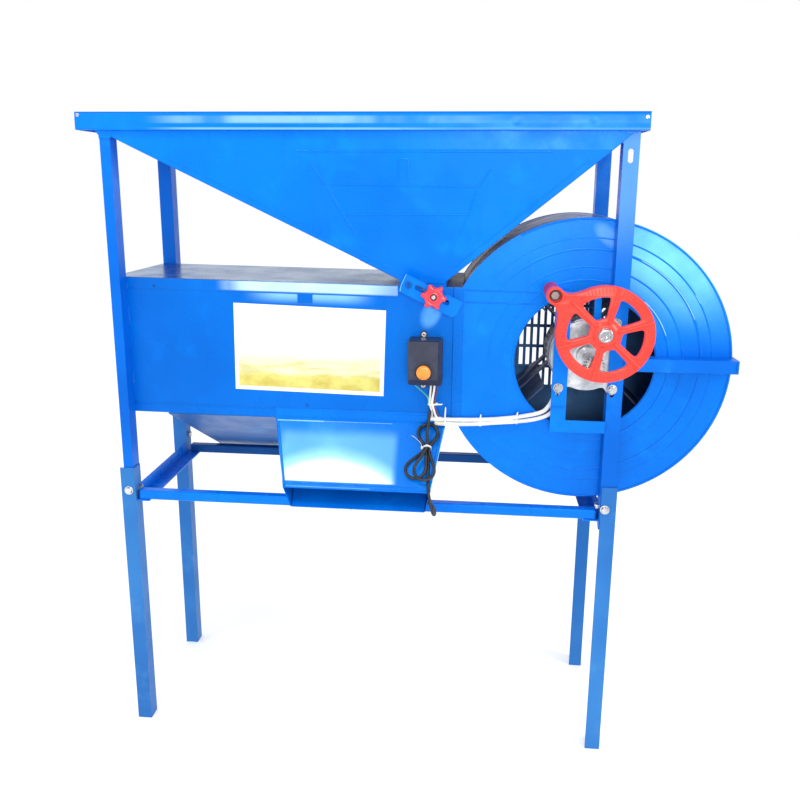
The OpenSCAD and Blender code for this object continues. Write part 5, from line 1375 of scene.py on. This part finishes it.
beads = [
    # legs to hopper
    weld((-594, 0.4, 1264.0), (-570, 0.4, 1252.5), 1.9, 2.6, 0.2), weld((-566.4, 8, 1252.6), (-566.4, 29, 1252.6), 1.8, 2.6, 1.0),
    weld((388.5, 0.2, 1262.6), (414, 0.2, 1262.6), 2.0, 2.6, 0.7), weld((-594, 294.6, 1262), (-569, 294.6, 1252), 2.0, 2.6, 2.2), weld((388, 294.6, 1262.5), (415, 294.6, 1262.5), 2.0, 2.6, 3.1),
    # legs to duct
    weld((-565.6, 29.6, 762), (-565.6, 29.6, 790), 2.0, 2.6, 1.7), weld((-565.6, 29.6, 890), (-565.6, 29.6, 925), 2.0, 2.6, 0.3), weld((-565.6, 29.6, 958), (-565.6, 29.6, 975), 2.2, 2.8, 2.6),
    # brace bars
    weld((416.2, -0.3, 827), (416.2, -0.3, 848), 1.9, 2.6, 0.9), weld((416.2, 297, 827), (416.2, 297, 848), 1.9, 2.6, 1.9), weld((623, -0.2, 828), (623, -0.2, 848), 1.7, 2.6, 0.4), weld((390.5, 0.3, 702), (390.5, 0.3, 722), 1.6, 2.6, 0.8),
    # motor bar and cross plate
    weld((283, -0.3, 751), (310, -0.3, 751), 1.6, 2.6, 0.8), weld((283, 29.6, 972), (310, 29.6, 972), 1.7, 2.6, 1.4), weld((283, 29.4, 975.4), (310, 29.4, 975.4), 1.7, 2.6, 2.4),
    # crank bracket
    weld((354, -6.2, 900), (354, -6.2, 909), 1.5, 2.2, 1.1), weld((346.6, -6.4, 908), (352.8, -6.4, 899), 1.6, 2.3, 0.2), weld((354, 29.6, 979), (365, 29.6, 979), 1.5, 2.4, 2.1), weld((387.2, -0.4, 967), (387.2, -0.4, 977), 1.5, 2.4, 1.6),
    # rails
    weld((-556, 2.6, 539.6), (-556, 21, 539.6), 1.5, 2.4, 0.5), weld((-555.6, 2.2, 522), (-555.6, 2.2, 538), 1.5, 2.4, 2.5), weld((379.6, 2.2, 522), (379.6, 2.2, 538), 1.5, 2.4, 1.5), weld((379.6, 3, 540), (379.6, 21, 540), 1.5, 2.4, 0.6),
    weld((-555.6, 296.2, 522), (-555.6, 296.2, 538), 1.5, 2.4, 3.5), weld((379.6, 296.2, 522), (379.6, 296.2, 538), 1.5, 2.4, 4.5),
    # chute side to the duct
    weld((-266, 30, 697), (-240, 29.6, 698), 1.3, 2.4, 1.3), weld((52, 29.4, 697.6), (77, 29.4, 697.6), 1.3, 2.4, 0.1),
]
piece("weld_beads", *join(beads), blue_legs, smooth=True)

# small details of the feed gate: hem of the bracket, painted bolt, washer behind the knob
parts = []
for a, b in (((-65, -16.2), (47.4, -16.2)), ((-65, 18.2), (53.4, 18.2))):
    pa, pb = gate_pt(a[0], -2, a[1]), gate_pt(b[0], -2, b[1])
    parts.append(swept([P(*pa), P(*pb)], round_ridge(1.6, 0.5), fwd))
n = 14
path = [gate_pt(-35.4 - 5.4 * SIN(180 * i / n), -2, 4.5 - 5.4 * COS(180 * i / n)) for i in range(n + 1)] + [gate_pt(27.4 + 5.4 * SIN(180 * i / n), -2, 4.5 + 5.4 * COS(180 * i / n)) for i in range(n + 1)]
parts.append(swept([P(*q) for q in path], round_ridge(1.3, 0.4), fwd, True))
piece("gate_bracket_hem", *join(parts), blue, smooth=True)
x, y, z = gate_pt(0, -2.15, 4.5)
piece("knob_washer", *lathe([(4.3, 0.05), (4.3, -0.15), (10.1, -0.15), (10.4, 0.05)], (x, y, z), 48), zinc, "gate", True)

# switch: raised ring round the button and the button's crown, then the painted bolt of the gate bracket
BXX, BZZ = 36.0, 816.0
parts = [lathe([(16.2, -14.0), (16.2, -15.6), (16.8, -16.3), (18.6, -16.3), (19.3, -15.6), (19.3, -14.0)], (BXX, 0, BZZ), 64)]
piece("switch_button_collar", *join(parts), box_mat, "frame", True)
piece("switch_button_crown", *lathe([(0, -24.9), (6, -24.8), (10.4, -24.5), (12.4, -23.9), (13.3, -23.0), (13.6, -22.2), (13.6, -17.2)], (BXX, 0, BZZ), 64), button_mat, "button", True)
bxx, _, bzz = gate_pt(-53, 0, 1.7)
piece("bracket_bolt_head", *lathe([(0, -3.75), (4.4, -3.7), (5.4, -3.5), (6.1, -3.1), (6.4, -2.6), (6.4, -1.9)], (bxx, 0, bzz), 6), blue_legs)
piece("bracket_bolt_washer", *lathe([(5.4, -2.5), (7.2, -2.5), (7.4, -2.3), (7.4, -1.9)], (bxx, 0, bzz), 40), blue_legs, smooth=True)
# cross slots of the pan-head screws above and below the switch
marks = []
for x, z in ((33, 882), (33, 779)):
    for a in (25, 115):
        d = Vector((COS(a), 0, SIN(a))) * 0.0026
        c = P(x, 23.5, z)
        marks.append(swept([c - d, c + d], [(-0.45, -0.1), (-0.45, 0.06), (0.45, 0.06), (0.45, -0.1)], fwd))
# dark slots: painted shade
piece("screw_slots", *join(marks), dark_hole)


# ---------------------------------------------------------------- small hardware
def thread_end(x, y, z, r, L, axis="y"):
    """Thread on the free end of a bolt, as rings of the right pitch."""
    prof = []
    n = int(L / 1.25)
    for i in range(n):
        prof += [(r + 0.02, i * 1.25), (r + 0.28, i * 1.25 + 0.5), (r + 0.02, i * 1.25 + 1.0)]
    return lathe(prof, (x, y, z), 20, axis)


parts = [thread_end(x, 15.2, z, 4.0, 2.6) for x in (294, 396) for z in (789, 917)]
parts += [thread_end(-577, 9.2, 541, 4.0, 2.6), thread_end(397, 9.2, 544, 4.0, 2.6)]
# washers under the heads of the motor bolts and leg bolts
for x in (294, 396):
    for z in (789, 917):
        parts.append(lathe([(7.2, -0.02), (9.4, -0.02), (9.6, -0.5), (9.2, -1.3), (7.0, -1.3)], (x, 0, z), 40))
for x, z in ((-577, 541), (397, 544)):
    parts.append(lathe([(7.2, -3.02), (9.4, -3.02), (9.6, -3.5), (9.2, -4.3), (7.0, -4.3)], (x, 0, z), 40))
piece("threads_and_washers", *join(parts), zinc, smooth=True)


# ---------------------------------------------------------------- floor and light
floor_mat = G("pale_floor", 0.6, 0.0, 0.3)
fc = floor_mat.mix(floor_mat.ramp(floor_mat.noise(1.3, 3), 0.35, 0.7), rgb(244, 245, 247), rgb(236, 238, 241))
floor_mat.set(Base_Color=fc, Emission_Color=(1.0, 1.0, 1.0), Emission_Strength=0.14, Roughness=floor_mat.ramp(floor_mat.noise(9, 3), 0.3, 0.7, 0.5, 0.7), Normal=floor_mat.bump(floor_mat.noise(90, 3), 0.0001))
me = bpy.data.meshes.new("floor")
S = 14.0
me.from_pydata([(-S, -S, 0), (S, -S, 0), (S, S, 0), (-S, S, 0)], [], [(0, 1, 2, 3)])
me.materials.append(floor_mat.m)
floor = bpy.data.objects.new("floor", me)
scene.collection.objects.link(floor)

world = bpy.data.worlds.new("studio")
scene.world = world
world.use_nodes = True
wt = world.node_tree
wt.nodes.clear()
bg = wt.nodes.new("ShaderNodeBackground")
bg.inputs["Color"].default_value = (1.0, 1.0, 1.0, 1)
bg.inputs["Strength"].default_value = 1.0
wt.links.new(bg.outputs[0], wt.nodes.new("ShaderNodeOutputWorld").inputs[0])


def area(name, where, at, size, power, colour=(1, 1, 1)):
    d = bpy.data.lights.new(name, "AREA")
    d.shape = "RECTANGLE"
    d.size, d.size_y = size
    d.energy = power
    d.color = colour
    o = bpy.data.objects.new(name, d)
    scene.collection.objects.link(o)
    o.location = where
    o.rotation_euler = (Vector(at) - Vector(where)).to_track_quat("-Z", "Y").to_euler()
    return o


area("key", (-0.69, -1.10, 3.0), (-0.15, -0.1, 0.8), (0.42, 0.42), 14, (1.0, 0.99, 0.97))
area("side", (2.37, -0.76, 2.05), (0.45, -0.1, 0.95), (0.6, 1.5), 30, (0.97, 0.99, 1.0))
area("front", (0.45, -2.6, 1.35), (0.35, 0, 0.85), (0.7, 0.7), 26)
area("left", (-2.2, -1.6, 1.8), (-0.3, 0, 0.8), (1.0, 1.4), 8)

scene.view_settings.view_transform = "Standard"
scene.view_settings.look = "None"
scene.view_settings.exposure = 0.0
scene.view_settings.gamma = 1.0
